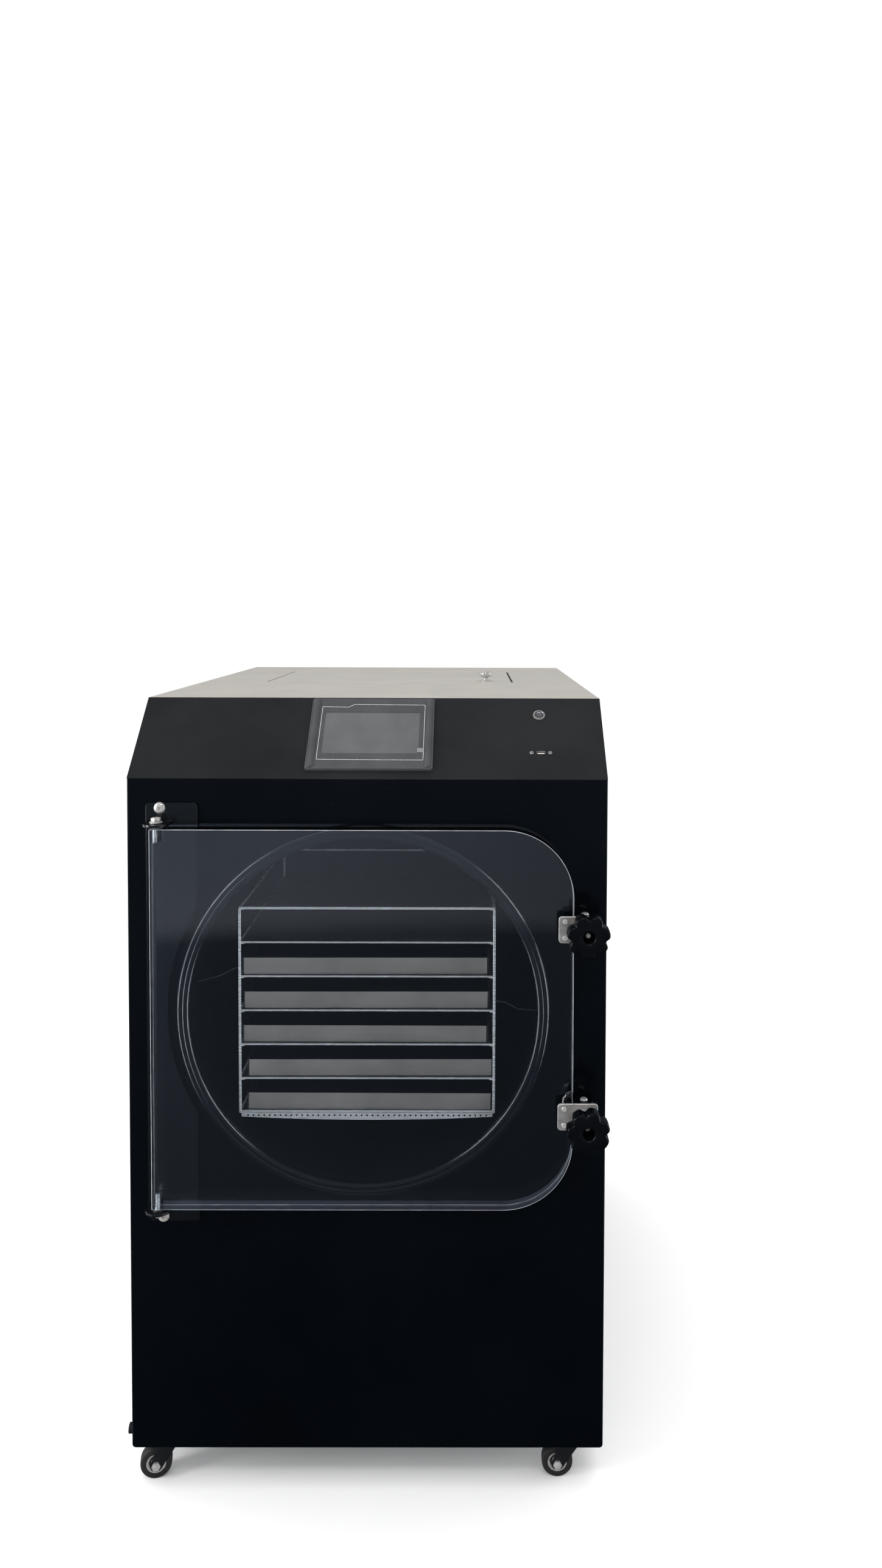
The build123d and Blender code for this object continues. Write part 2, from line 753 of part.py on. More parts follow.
def screen_housing():
    wide, high = screen_bezel_wide - 10, screen_bezel_high - 10
    case = pad(0, 0, wide, high, -36, 0) - pad(0, 0, wide - 5, high - 5, -33.5, 1)
    case += pad(0, 0, screen_wide + 4, screen_high + 4, -34, bezel_proud - 2.6)
    case -= pad(0, 0, screen_wide + 4, screen_high + 4, 0, 10)
    case += pad(0, 0, screen_wide - 1, screen_high - 1, -1, bezel_proud - 2.6)
    return on_slope(Pos(screen_u, screen_v, 0) * case)


def button_body():
    ring = peg(0, 0, button_ring_radius, 0, 2.4)
    ring = fillet(ring.edges().group_by(Axis.Z)[-1], 1)
    ring += peg(0, 0, button_radius + 1.3, -24, 0)
    ring -= peg(0, 0, button_radius + gap, -8, 3)
    ring -= peg(0, 0, 4 + gap, -21, 0)
    nut = Pos(0, 0, -front_sheet) * extrude(RegularPolygon(12, 6), amount=-3.5)
    ring += nut - peg(0, 0, button_radius + 1, -10, 1)
    return on_slope(Pos(button_u, button_v, 0) * ring)


def power_button():
    cap = peg(0, 0, button_radius, -4, 1.8)
    cap = fillet(cap.edges().group_by(Axis.Z)[-1], 0.6)
    cap += peg(0, 0, 4, -17, -4)
    return on_slope(Pos(button_u, button_v, 0) * cap)


def usb_socket():
    """The socket on its flange behind the panel, and the two screws that hold it."""
    shell = pad(0, 0, 13.2, 5.8, -18, 0.8) - pad(0, 0, 12, 4.7, -15, 2)
    shell += pad(0, -1.1, 11, 1.5, -16, -1.5)
    shell += pad(0, 0, 38, 14, -front_sheet - 2, -front_sheet) - pad(0, 0, 12.4, 5, -10, 1)
    screws = []
    for side in (-1, 1):
        u = side * usb_screw_pitch / 2
        shell -= peg(u, 0, 1.5, -10, 2)
        head = peg(u, 0, 3.2, 0, 1.6)
        head = fillet(head.edges().group_by(Axis.Z)[-1], 0.7)
        screws.append(head + peg(u, 0, 1.5, -7, 0) - pad(u, 0, 4.4, 0.8, 1, 3))
    return [on_slope(Pos(button_u, usb_v, 0) * piece) for piece in [shell] + screws]


# ---- top hatch -----------------------------------------------------------------------------


def hatch_opening():
    x0 = hatch_x - hatch_width / 2
    return x0, x0 + hatch_width, hatch_front, hatch_front + hatch_depth


def hatch_axis():
    """y and z of the hinge pin at the opening's rear edge."""
    return hatch_front + hatch_depth - 4, top - hatch_barrel - 0.2


def knuckles(first, count, length, pitch):
    x0 = hatch_opening()[0] + 12
    return [(x0 + (first + 2 * i) * pitch, x0 + (first + 2 * i) * pitch + length) for i in range(count)]


def hatch_frame():
    x0, x1, y0, y1 = hatch_opening()
    y, z = hatch_axis()
    ring = block(x0 - 14, x1 + 14, y0 - 14, y1 + 14, frame_top - 2, frame_top)
    ring -= block(x0 + 12, x1 - 12, y0 + 12, y1, frame_top - 3, frame_top + 1)
    ring -= block(x0 - 0.1, x1 + 0.1, y - 10, y1, frame_top - 3, frame_top + 1)
    for a, b in knuckles(0, 4, 66, 67):
        ring += rod_x(hatch_barrel, a, b, y, z)
        ring += block(a, b, y + 1, y1 + 2, frame_top - 2, frame_top - 0.6)
    ring += rod_x(hatch_pin, x0 + 12, x0 + 12 + 6 * 67 + 66, y, z)
    return ring


def hatch_lid():
    x0, x1, y0, y1 = hatch_opening()
    y, z = hatch_axis()
    g = hatch_gap
    lid = block(x0 + g, x1 - g, y0 + g, y - 3.2, frame_top + gap, top)
    for a, b in knuckles(1, 3, 66, 67):
        a, b = a + gap, b - gap
        lid += rod_x(hatch_barrel, a, b, y, z)
        lid += block(a, b, y - 4, y, frame_top + gap, top - 0.3)
        lid -= rod_x(hatch_pin + running, a, b, y, z)
    return lid


def hatch_knob():
    y = hatch_front + hatch_knob_inset
    knob = rod_z(9, top, top + 2.5, hatch_knob_x, y)
    knob += rod_z(5, top + 2, top + 10, hatch_knob_x, y)
    crown = rod_z(12.5, top + 9, top + 20, hatch_knob_x, y)
    crown = fillet(crown.edges(), 4)
    return knob + crown - rod_z(7, top + 17.5, top + 21, hatch_knob_x, y)


# ---- casters -------------------------------------------------------------------------------


def caster_places():
    rear = depth - caster_inset
    spots = [(-caster_x, caster_inset), (caster_x, caster_inset), (-caster_x, rear), (caster_x, rear)]
    return [(x, y, turn) for (x, y), turn in zip(spots, caster_turns)]


def caster_plate(x, y):
    side = caster_plate_side / 2
    plate = block(-side, side, -side, side, underside - 4, underside)
    plate = fillet(plate.edges().filter_by(Axis.Z), 6)
    plate += rod_z(19, underside - 9, underside - 4, 0, 0)
    plate += rod_z(axle_radius, underside - 16, underside - 9, 0, 0)
    plate += rod_z(7, underside - 19, underside - 13 - 2 * gap, 0, 0)
    return Pos(x, y, 0) * plate


def caster_fork(x, y, turn):
    """A pressed fork with its axle bolt. The wheel trails the swivel axis towards local -X."""
    high = underside - 9 - gap
    low = underside - 13
    fork = rod_z(19, low, high, 0, 0) - rod_z(axle_radius + running, low - 1, high + 1, 0, 0)
    inner = wheel_width / 2 + 2
    for side in (-1, 1):
        a, b = sorted((side * inner, side * (inner + 2.5)))
        corners = (16, high), (-18, high), (-30, wheel_radius), (-12, wheel_radius - 4)
        leg = extrude(Plane.XZ.offset(-b) * Polygon(*corners, align=None), amount=b - a)
        leg += rod_y(9.5, a, b, -caster_trail, wheel_radius)
        fork += leg - rod_y(axle_radius, a - 1, b + 1, -caster_trail, wheel_radius)
    fork += block(-16, 14, -inner, inner, low, high) - rod_z(15, low - 1, high + 1, 0, 0)
    reach = inner + 2.5
    axle = rod_y(axle_radius, -reach - 5, reach, -caster_trail, wheel_radius)
    for side, face in ((1, reach), (-1, -reach - 4)):
        nut = Plane.XZ.offset(-face - 4) * Pos(-caster_trail, wheel_radius) * RegularPolygon(7, 6)
        axle += extrude(nut, amount=4)
    return [Pos(x, y, 0) * Rot(0, 0, turn) * piece for piece in (fork, axle)]


def caster_wheel(x, y, turn):
    """A moulded core and a black tyre pressed round it."""
    w = wheel_width / 2
    core = rod_y(wheel_radius - 6, -w + 0.5, w - 0.5, 0, 0)
    for side in (-1, 1):
        a, b = sorted((side * (w - 3), side * w))
        core -= rod_y(wheel_radius - 8.5, a, b, 0, 0) - rod_y(8, a, b, 0, 0)
    core += rod_y(7.5, -w - 2 + gap, w + 2 - gap, 0, 0)
    core -= rod_y(axle_radius + running, -20, 20, 0, 0)
    tyre = rod_y(wheel_radius, -w, w, 0, 0)
    tyre = fillet(tyre.edges().filter_by(GeomType.CIRCLE), 3) - rod_y(wheel_radius - 6, -20, 20, 0, 0)
    place = Pos(x, y, 0) * Rot(0, 0, turn) * Pos(-caster_trail, 0, wheel_radius)
    return [place * core, place * tyre]


# ---- machinery -----------------------------------------------------------------------------


def deck():
    """Top face of the bottom rails."""
    return underside + front_sheet + rail


def compressor():
    x, y, z = compressor_x, compressor_y, deck()
    feet = block(x - 150, x + 150, y - 145, y + 145, z, z + 4)
    for dx in (-90, 90):
        for dy in (-90, 90):
            feet += rod_z(14, z + 4, z + 22, x + dx, y + dy)
    feet += block(x - 110, x + 110, y - 110, y + 110, z + 22, z + 27)
    body = rod_z(compressor_radius, z + 27, z + 250, x, y)
    body = fillet(body.edges().group_by(Axis.Z)[-1], 60)
    body += rod_z(compressor_radius + 4, z + 130, z + 138, x, y)
    body += block(x + compressor_radius - 8, x + compressor_radius + 32, y - 30, y + 30, z + 80, z + 150)
    return feet + body


def vacuum_pump():
    x, y, z = pump_x, pump_y, deck()
    pump = block(x - 150, x + 120, y - 60, y + 240, z, z + 4)
    pump += rod_y(68, y + 60, y + 235, x, z + 90)
    pump += block(x - 70, x + 70, y - 50, y + 60, z + 14, z + 175)
    pump += block(x - 50, x + 50, y - 40, y + 220, z + 4, z + 30)
    pump += rod_z(24, z + 150, z + 230, exhaust_x, y)
    return pump + rod_z(vacuum_radius + 4, z + 170, z + 200, pump_inlet_x, y + 20)


def exhaust_pipe():
    """From the pump's mist filter up and back to a hose stub behind the rear panel."""
    rise = (exhaust_x, pump_y, deck() + 230)
    r = exhaust_radius
    end = depth + rear_reach
    pipe = tube([rise, (exhaust_x, pump_y, exhaust_z), (exhaust_x, end, exhaust_z)], r, r - 2, 34)
    stub = rod_y(r + 1, depth + gap, end, exhaust_x, exhaust_z)
    return pipe + (stub - rod_y(r - 1, depth, end + 1, exhaust_x, exhaust_z))


def vacuum_pipe():
    """From the middle of the chamber's back plate down and forward to the pump's inlet."""
    y = jacket_end() + 60
    low = mid_rail_z - 36
    inlet_y = pump_y + 20
    path = [
        (mouth_x, chamber_depth + back_plate, mouth_z),
        (mouth_x, y, mouth_z),
        (mouth_x, y, low),
        (pump_inlet_x, inlet_y, low),
        (pump_inlet_x, inlet_y, deck() + 200),
    ]
    pipe = tube(path, vacuum_radius, vacuum_radius - 2, [40, 45, 30])
    flange = rod_y(vacuum_radius + 14, jacket_end() + 1, jacket_end() + 9, mouth_x, mouth_z)
    return pipe + (flange - rod_y(vacuum_radius - 1, 0, depth, mouth_x, mouth_z))


def condenser():
    y0, y1 = condenser_y, condenser_y + 50
    half_width = shroud_side / 2
    z0, z1 = deck(), deck() + 300
    block_parts = block(-half_width, -half_width + 3, y0, y1, z0, z1)
    block_parts += block(half_width - 3, half_width, y0, y1, z0, z1)
    for i in range(15):
        x = -half_width + 18 * (i + 1)
        block_parts += block(x, x + 1, y0 + 4, y1 - 4, z0 + 10, z1 - 10)
    for row in range(7):
        z = z0 + 30 + 40 * row
        block_parts += rod_x(6, -half_width - 6, half_width + 6, (y0 + y1) / 2, z)
    return block_parts


def fan_shroud():
    y0 = condenser_y + 50
    s = shroud_side / 2
    front = block(-s, s, y0, y0 + 60, fan_z - s + 6, fan_z + s - 6)
    front -= block(-s + 2, s - 2, y0 - 1, y0 + 58, fan_z - s + 8, fan_z + s - 8)
    front -= rod_y(fan_radius + 5, y0 + 50, y0 + 70, 0, fan_z)
    for angle in (45, 135, 225, 315):
        arm = Pos(0, y0 + 66, fan_z) * Rot(0, angle, 0) * Pos(85, 0, 0) * Box(110, 12, 8)
        front += arm
    motor = rod_y(34, y0 + 56, y0 + 110, 0, fan_z)
    front += fillet(motor.edges().group_by(Axis.Y)[-1], 6)
    front += rod_y(axle_radius, y0 + 18, y0 + 60, 0, fan_z)
    return front + block(-s, s, y0 + 10, y0 + 50, deck(), fan_z - s + 6)


def fan_blades():
    y0 = condenser_y + 50 + 24
    hub = rod_y(26, y0, y0 + 24, 0, fan_z)
    for i in range(5):
        blade = Pos(65, 0, 0) * Rot(32, 0, 0) * Box(88, 2, 46)
        hub += Pos(0, y0 + 12, fan_z) * Rot(0, 72 * i, 0) * blade
    hub &= rod_y(fan_radius, y0 - 6, y0 + 30, 0, fan_z)
    return hub - rod_y(axle_radius + running, y0 - 10, y0 + 40, 0, fan_z)


def refrigerant_pipes():
    (x0, z0), (x1, z1) = header_places()
    y = jacket_end() + 12
    z = deck()
    low = z + 190
    inlet_y = condenser_y + 25
    edge = shroud_side / 2 + 6
    supply = [(x0, y, z0), (x0, y + 45, z0), (320, y + 45, 600), (320, inlet_y, low), (edge, inlet_y, low)]
    x, middle = compressor_x, compressor_y
    back = [(x1, y, z1), (x1, y + 45, z1), (-300, y + 45, 640), (-300, middle, 420), (x, middle, 420)]
    back.append((x, middle, z + 250))
    return [tube(supply, coil_tube, 3.6, 24), tube(back, coil_tube, 3.6, 24)]


def control_box():
    x0, x1 = -330, -40
    y0, y1 = post_front + post + 6, hatch_front - 20
    z1 = frame_top - post
    z0 = z1 - 92
    wall = 1.5
    box = block(x0, x1, y0, y1, z0, z1)
    box -= block(x0 + wall, x1 - wall, y0 + wall, y1 - wall, z0 + wall, z1 - wall)
    for i in range(6):
        box += block(x0 + 30 + i * 38, x0 + 60 + i * 38, y0 + 60, y0 + 140, z0 + wall, z0 + 60)
    return box


def inlet_cut():
    return 228, 276, depth - 5, depth + 5, 190, 221


def mains_inlet():
    """A three-pin appliance inlet; no lead is fitted."""
    x0, x1, _, _, z0, z1 = inlet_cut()
    y0 = depth - 34
    body = block(x0 + 0.5, x1 - 0.5, y0, depth, z0 + 0.5, z1 - 0.5)
    body += block(x0 - 8, x1 + 8, depth, depth + 3, z0 - 5, z1 + 5)
    body -= block(x0 + 8, x1 - 8, depth - 20, depth + 5, z0 + 5, z1 - 5)
    for dx, dz in ((0, 5), (-9, -3), (9, -3)):
        x, z = (x0 + x1) / 2 + dx, (z0 + z1) / 2 + dz
        body += block(x - 1, x + 1, depth - 21, depth - 3, z - 2.5, z + 2.5)
    return body


def main():
    save("base_frame", base_frame())
    save("floor_pan", floor_pan())
    save("front_panel", front_panel())
    save("control_panel", control_panel())
    save("left_side_panel", left_side_panel())
    save("right_side_panel", side_panel(half - sheet))
    save("rear_panel", rear_panel())
    save("top_panel", top_panel())
    save("hatch_frame", hatch_frame())
    save("chamber_shell", chamber_shell())
    save("chamber_ends", *chamber_ends())
    save("door_gasket", door_gasket())
    save("refrigerant_circuit", *evaporator_coil(), *refrigerant_pipes())
    save("foam_jacket", foam_jacket())
    save("shelf_rack", *rack_frame())
    for i in range(bays - 1):
        save(f"tray_{i + 1}", tray(i))
    save("perforated_strip", perforated_strip())
    save("sensor_leads", *sensor_leads())
    save("drain_pipe", *drain_pipe())
    save("hinge_plate", hinge_plate())
    save("hinge_fasteners", *hinge_fasteners())
    upper, lower = clamp_heights()
    save("clamp_brackets", clamp_bracket(upper), clamp_bracket(lower))
    save("clamp_pivots", clamp_pivot(upper), clamp_pivot(lower))
    save("screen_bezel", screen_bezel())
    save("screen_glass", screen_glass())
    save("screen_housing", screen_housing())
    save("button_body", button_body())
    save("usb_socket", *usb_socket())
    save("compressor", compressor())
    save("vacuum_pump", vacuum_pump())
    save("vacuum_pipes", vacuum_pipe(), exhaust_pipe())
    save("condenser", condenser())
    save("fan_shroud", fan_shroud())
    save("control_box", control_box())
    save("mains_inlet", mains_inlet())
    save("caster_plates", *[caster_plate(x, y) for x, y, _ in caster_places()])
    save("door_panel", door_panel())
    save("clamp_plates", clamp_plate(upper), clamp_plate(lower))
    save("clamp_plate_fixings", *clamp_plate_fixings(upper), *clamp_plate_fixings(lower))
    for name, z, out, turn in (("upper", upper, 0, 12), ("lower", lower, clamp_travel, 22)):
        save(f"clamp_washer_{name}", clamp_washer(z, out))
        save(f"clamp_knob_{name}", clamp_knob(z, out, turn))
        save(f"clamp_bolt_{name}", clamp_bolt(z, out))
    save("power_button", power_button())
    save("hatch_lid", hatch_lid(), hatch_knob())
    save("fan_blades", fan_blades())
    for name, (x, y, turn) in zip(("front_left", "front_right", "rear_left", "rear_right"), caster_places()):
        save(f"caster_fork_{name}", *caster_fork(x, y, turn))
        save(f"caster_wheel_{name}", *caster_wheel(x, y, turn))


main()
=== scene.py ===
import json
import math

import bmesh
import bpy
from mathutils import Matrix, Vector


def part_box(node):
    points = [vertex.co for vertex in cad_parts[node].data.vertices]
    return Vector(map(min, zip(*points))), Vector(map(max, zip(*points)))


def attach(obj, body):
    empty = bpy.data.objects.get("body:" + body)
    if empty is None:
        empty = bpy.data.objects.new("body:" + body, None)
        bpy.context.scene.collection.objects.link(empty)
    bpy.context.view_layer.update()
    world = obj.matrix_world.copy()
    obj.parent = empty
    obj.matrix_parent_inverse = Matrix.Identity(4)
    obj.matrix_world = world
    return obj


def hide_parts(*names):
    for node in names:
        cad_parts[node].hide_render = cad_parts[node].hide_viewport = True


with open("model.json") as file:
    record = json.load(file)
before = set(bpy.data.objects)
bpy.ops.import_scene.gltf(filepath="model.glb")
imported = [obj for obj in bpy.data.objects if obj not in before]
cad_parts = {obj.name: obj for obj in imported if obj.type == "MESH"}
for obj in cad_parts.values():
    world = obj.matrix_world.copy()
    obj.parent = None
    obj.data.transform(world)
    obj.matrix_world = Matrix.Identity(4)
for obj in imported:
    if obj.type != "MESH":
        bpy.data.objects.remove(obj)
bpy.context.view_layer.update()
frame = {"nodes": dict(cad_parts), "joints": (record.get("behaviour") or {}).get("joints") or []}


def spanOf(node):
    low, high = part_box(node)
    return low, high, (low + high) / 2


def jointPlace(name):
    return Vector(next(joint["pos_m"] for joint in frame["joints"] if joint["name"] == name))


panelLow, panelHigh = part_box("front_panel")
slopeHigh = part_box("control_panel")[1]
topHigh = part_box("top_panel")[1]
doorLow, doorHigh, doorMid = spanOf("door_panel")
drumLow, drumHigh, drumMid = spanOf("chamber_shell")
rackLow, rackHigh, rackMid = spanOf("shelf_rack")
frontY = panelLow.y
mouthX, mouthZ = drumMid.x, drumMid.z
hingeX = jointPlace("door_hinge").x

# the sloped panel's own frame: x across, y up the slope, z out of its face
slopeLength = math.hypot(slopeHigh.y - frontY, slopeHigh.z - panelHigh.z)
slopeUp = Vector((0, slopeHigh.y - frontY, slopeHigh.z - panelHigh.z)) / slopeLength
slopeOut = Vector((1, 0, 0)).cross(slopeUp)
slopeFrame = Matrix(
    (
        (1, 0, 0, 0),
        (0, slopeUp.y, slopeOut.y, frontY),
        (0, slopeUp.z, slopeOut.z, panelHigh.z),
        (0, 0, 0, 1),
    )
)


# shader nodes


def plug(tree, socket, value):
    # links another node's output, or sets a number, a vector or a colour
    if isinstance(value, bpy.types.NodeSocket):
        tree.links.new(value, socket)
    elif socket.type == "RGBA":
        socket.default_value = (*value, 1)
    else:
        socket.default_value = value


def addNode(tree, kind, inputs):
    node = tree.nodes.new("ShaderNode" + kind)
    for key, value in inputs.items():
        plug(tree, node.inputs[key], value)
    return node


def newMaterial(name, base, roughness=0.5, metallic=0.0, specular=0.5):
    material = bpy.data.materials.new(name)
    material.use_nodes = True
    material.diffuse_color = (*base, 1)
    tree = material.node_tree
    shader = tree.nodes["Principled BSDF"]
    plug(tree, shader.inputs["Base Color"], base)
    shader.inputs["Roughness"].default_value = roughness
    shader.inputs["Metallic"].default_value = metallic
    shader.inputs["Specular IOR Level"].default_value = specular
    return material, tree, shader


def mapped(tree, scale=(1, 1, 1)):
    place = tree.nodes.new("ShaderNodeTexCoord").outputs["Object"]
    return addNode(tree, "Mapping", {"Scale": scale, "Vector": place}).outputs["Vector"]


def noise(tree, vector, scale, detail=3.0, rough=0.5, distortion=0.0):
    inputs = {"Scale": scale, "Detail": detail, "Roughness": rough, "Distortion": distortion, "Vector": vector}
    return addNode(tree, "TexNoise", inputs).outputs["Fac"]


def ramp(tree, factor, stops):
    blend = addNode(tree, "ValToRGB", {"Fac": factor})
    elements = blend.color_ramp.elements
    while len(elements) < len(stops):
        elements.new(0.5)
    for element, (position, colour) in zip(elements, stops):
        element.position = position
        element.color = (*colour, 1)
    return blend.outputs["Color"]


def remap(tree, factor, low, high, fromLow, fromHigh):
    inputs = {"From Min": fromLow, "From Max": fromHigh, "To Min": low, "To Max": high, "Value": factor}
    return addNode(tree, "MapRange", inputs).outputs["Result"]


def rise(tree, factor, start, end):
    # 0 before the start, 1 after the end; the other way round if the start is the larger
    low, high = (0.0, 1.0) if start < end else (1.0, 0.0)
    return remap(tree, factor, low, high, min(start, end), max(start, end))


def mixColour(tree, factor, first, second):
    node = tree.nodes.new("ShaderNodeMix")
    node.data_type = "RGBA"
    colourInputs = [socket for socket in node.inputs if socket.type == "RGBA"]
    for socket, value in zip([node.inputs[0], *colourInputs], (factor, first, second)):
        plug(tree, socket, value)
    return next(socket for socket in node.outputs if socket.type == "RGBA")


def product(tree, first, second):
    node = addNode(tree, "Math", {0: first, 1: second})
    node.operation = "MULTIPLY"
    return node.outputs["Value"]


def dress(tree, shader, colour, gloss, relief, depth, reach):
    # colour, gloss and a fine relief, each from its own pattern
    normal = addNode(tree, "Bump", {"Strength": depth, "Distance": reach, "Height": relief}).outputs["Normal"]
    plug(tree, shader.inputs["Base Color"], colour)
    plug(tree, shader.inputs["Roughness"], gloss)
    plug(tree, shader.inputs["Normal"], normal)


def scaled(colour, by):
    return tuple(min(1, part * by) for part in colour)


# finishes


def paintedSheet(name, base, rough, grain, depth, specular, dust=0.0):
    # powder coat: fine peel, broad smears in the gloss, a little dust in specks
    material, tree, shader = newMaterial(name, base, rough, 0.0, specular)
    vector = mapped(tree)
    broad = noise(tree, vector, scale=4.0, detail=4.0, rough=0.6)
    peel = noise(tree, vector, scale=grain, detail=2.0)
    colour = ramp(tree, broad, [(0.35, scaled(base, 0.85)), (0.65, scaled(base, 1.25))])
    if dust:
        fleck = noise(tree, vector, scale=260.0, detail=1.0, rough=0.4)
        colour = mixColour(tree, remap(tree, fleck, 0.0, dust, 0.76, 0.82), colour, (0.30, 0.30, 0.30))
    gloss = remap(tree, broad, rough * 0.85, rough * 1.2, 0.3, 0.7)
    dress(tree, shader, colour, gloss, peel, depth, reach=0.0002)
    return material


def brushedMetal(name, base, rough, along, depth=0.12, stain=0.25, metallic=1.0):
    # along: how far the brush lines stretch on each axis, small is long
    material, tree, shader = newMaterial(name, base, rough, metallic)
    lines = noise(tree, mapped(tree, along), scale=420.0, detail=4.0, rough=0.7)
    blotch = noise(tree, mapped(tree), scale=11.0, detail=5.0, rough=0.65, distortion=0.4)
    fine = ramp(tree, lines, [(0.3, scaled(base, 1 - stain)), (0.7, scaled(base, 1.1))])
    cloudy = ramp(tree, blotch, [(0.32, scaled(base, 1 - stain)), (0.62, scaled(base, 1.08))])
    gloss = remap(tree, lines, rough * 0.8, rough * 1.25, 0.25, 0.75)
    dress(tree, shader, mixColour(tree, 0.6, fine, cloudy), gloss, lines, depth, reach=0.0001)
    return material


def polishedMetal(name, base, rough, wear=0.2, metallic=1.0):
    # a cloudy shine over very fine drawn lines
    material, tree, shader = newMaterial(name, base, rough, metallic)
    haze = noise(tree, mapped(tree), scale=60.0, detail=5.0, rough=0.6)
    fine = noise(tree, mapped(tree, (1, 1, 0.1)), scale=900.0, detail=2.0)
    colour = ramp(tree, haze, [(0.35, scaled(base, 1 - wear)), (0.6, base)])
    gloss = remap(tree, haze, rough * 0.7, rough * 2.0, 0.3, 0.75)
    dress(tree, shader, colour, gloss, fine, depth=0.05, reach=0.00005)
    return material


def mouldedPlastic(name, base, rough, grain, depth, specular=0.5):
    # a grained skin with slow changes of tone
    material, tree, shader = newMaterial(name, base, rough, 0.0, specular)
    vector = mapped(tree)
    skin = noise(tree, vector, scale=grain, rough=0.6)
    broad = noise(tree, vector, scale=22.0)
    colour = ramp(tree, broad, [(0.3, base), (0.75, scaled(base, 1.25))])
    gloss = remap(tree, broad, rough * 0.85, rough * 1.25, 0.3, 0.7)
    dress(tree, shader, colour, gloss, skin, depth, reach=0.0002)
    return material


clearSheet = {
    "refraction": 1.49, "faceRough": 0.004, "sawnRough": (0.03, 0.16), "sawnTint": (0.80, 0.87, 0.94),
    "tints": ((0.88, 0.925, 0.97), (0.92, 0.95, 0.985)), "rimRefraction": 1.42, "rimClear": 0.6,
}


def clearAcrylic():
    # clear faces; the sawn edges are frosted across their width, and stay so when the door turns
    material, tree, shader = newMaterial("clearAcrylic", (0.90, 0.94, 0.98), 0.01)
    shader.inputs["Transmission Weight"].default_value = 1.0
    shader.inputs["IOR"].default_value = clearSheet["refraction"]
    outward = tree.nodes.new("ShaderNodeNewGeometry").outputs["True Normal"]
    ownNormal = addNode(tree, "VectorTransform", {"Vector": outward})
    ownNormal.vector_type, ownNormal.convert_from, ownNormal.convert_to = "NORMAL", "WORLD", "OBJECT"
    split = addNode(tree, "SeparateXYZ", {"Vector": ownNormal.outputs["Vector"]})
    facing = addNode(tree, "Math", {0: split.outputs["Y"]})
    facing.operation = "ABSOLUTE"
    edge = rise(tree, facing.outputs["Value"], 0.9, 0.3)
    saw = noise(tree, mapped(tree, (1, 0.06, 1)), scale=220.0, rough=0.6)
    frost = remap(tree, saw, *clearSheet["sawnRough"], 0.35, 0.7)
    gloss = addNode(tree, "Mix", {"Factor": edge, "A": clearSheet["faceRough"], "B": frost})
    plug(tree, shader.inputs["Roughness"], gloss.outputs["Result"])
    clear = ramp(tree, noise(tree, mapped(tree), scale=3.0), list(zip((0.3, 0.7), clearSheet["tints"])))
    plug(tree, shader.inputs["Base Color"], mixColour(tree, edge, clear, clearSheet["sawnTint"]))
    return material


def paneRim():
    # the broken corners of the pane, which scatter light along thin lines
    material, tree, shader = newMaterial("paneRim", (0.80, 0.86, 0.92), 0.25, 0.0, 0.6)
    shader.inputs["Transmission Weight"].default_value = clearSheet["rimClear"]
    shader.inputs["IOR"].default_value = clearSheet["rimRefraction"]
    patchy = noise(tree, mapped(tree), scale=40.0, detail=4.0, rough=0.6)
    tint = ramp(tree, patchy, [(0.3, (0.42, 0.47, 0.54)), (0.65, (0.86, 0.90, 0.95))])
    plug(tree, shader.inputs["Base Color"], tint)
    return material


def printedLine():
    material, tree, shader = newMaterial("printedLine", (0.60, 0.61, 0.60))
    patchy = noise(tree, mapped(tree), scale=180.0, detail=2.0)
    tint = ramp(tree, patchy, [(0.3, (0.45, 0.46, 0.46)), (0.6, (0.66, 0.67, 0.66))])
    plug(tree, shader.inputs["Base Color"], tint)
    return material


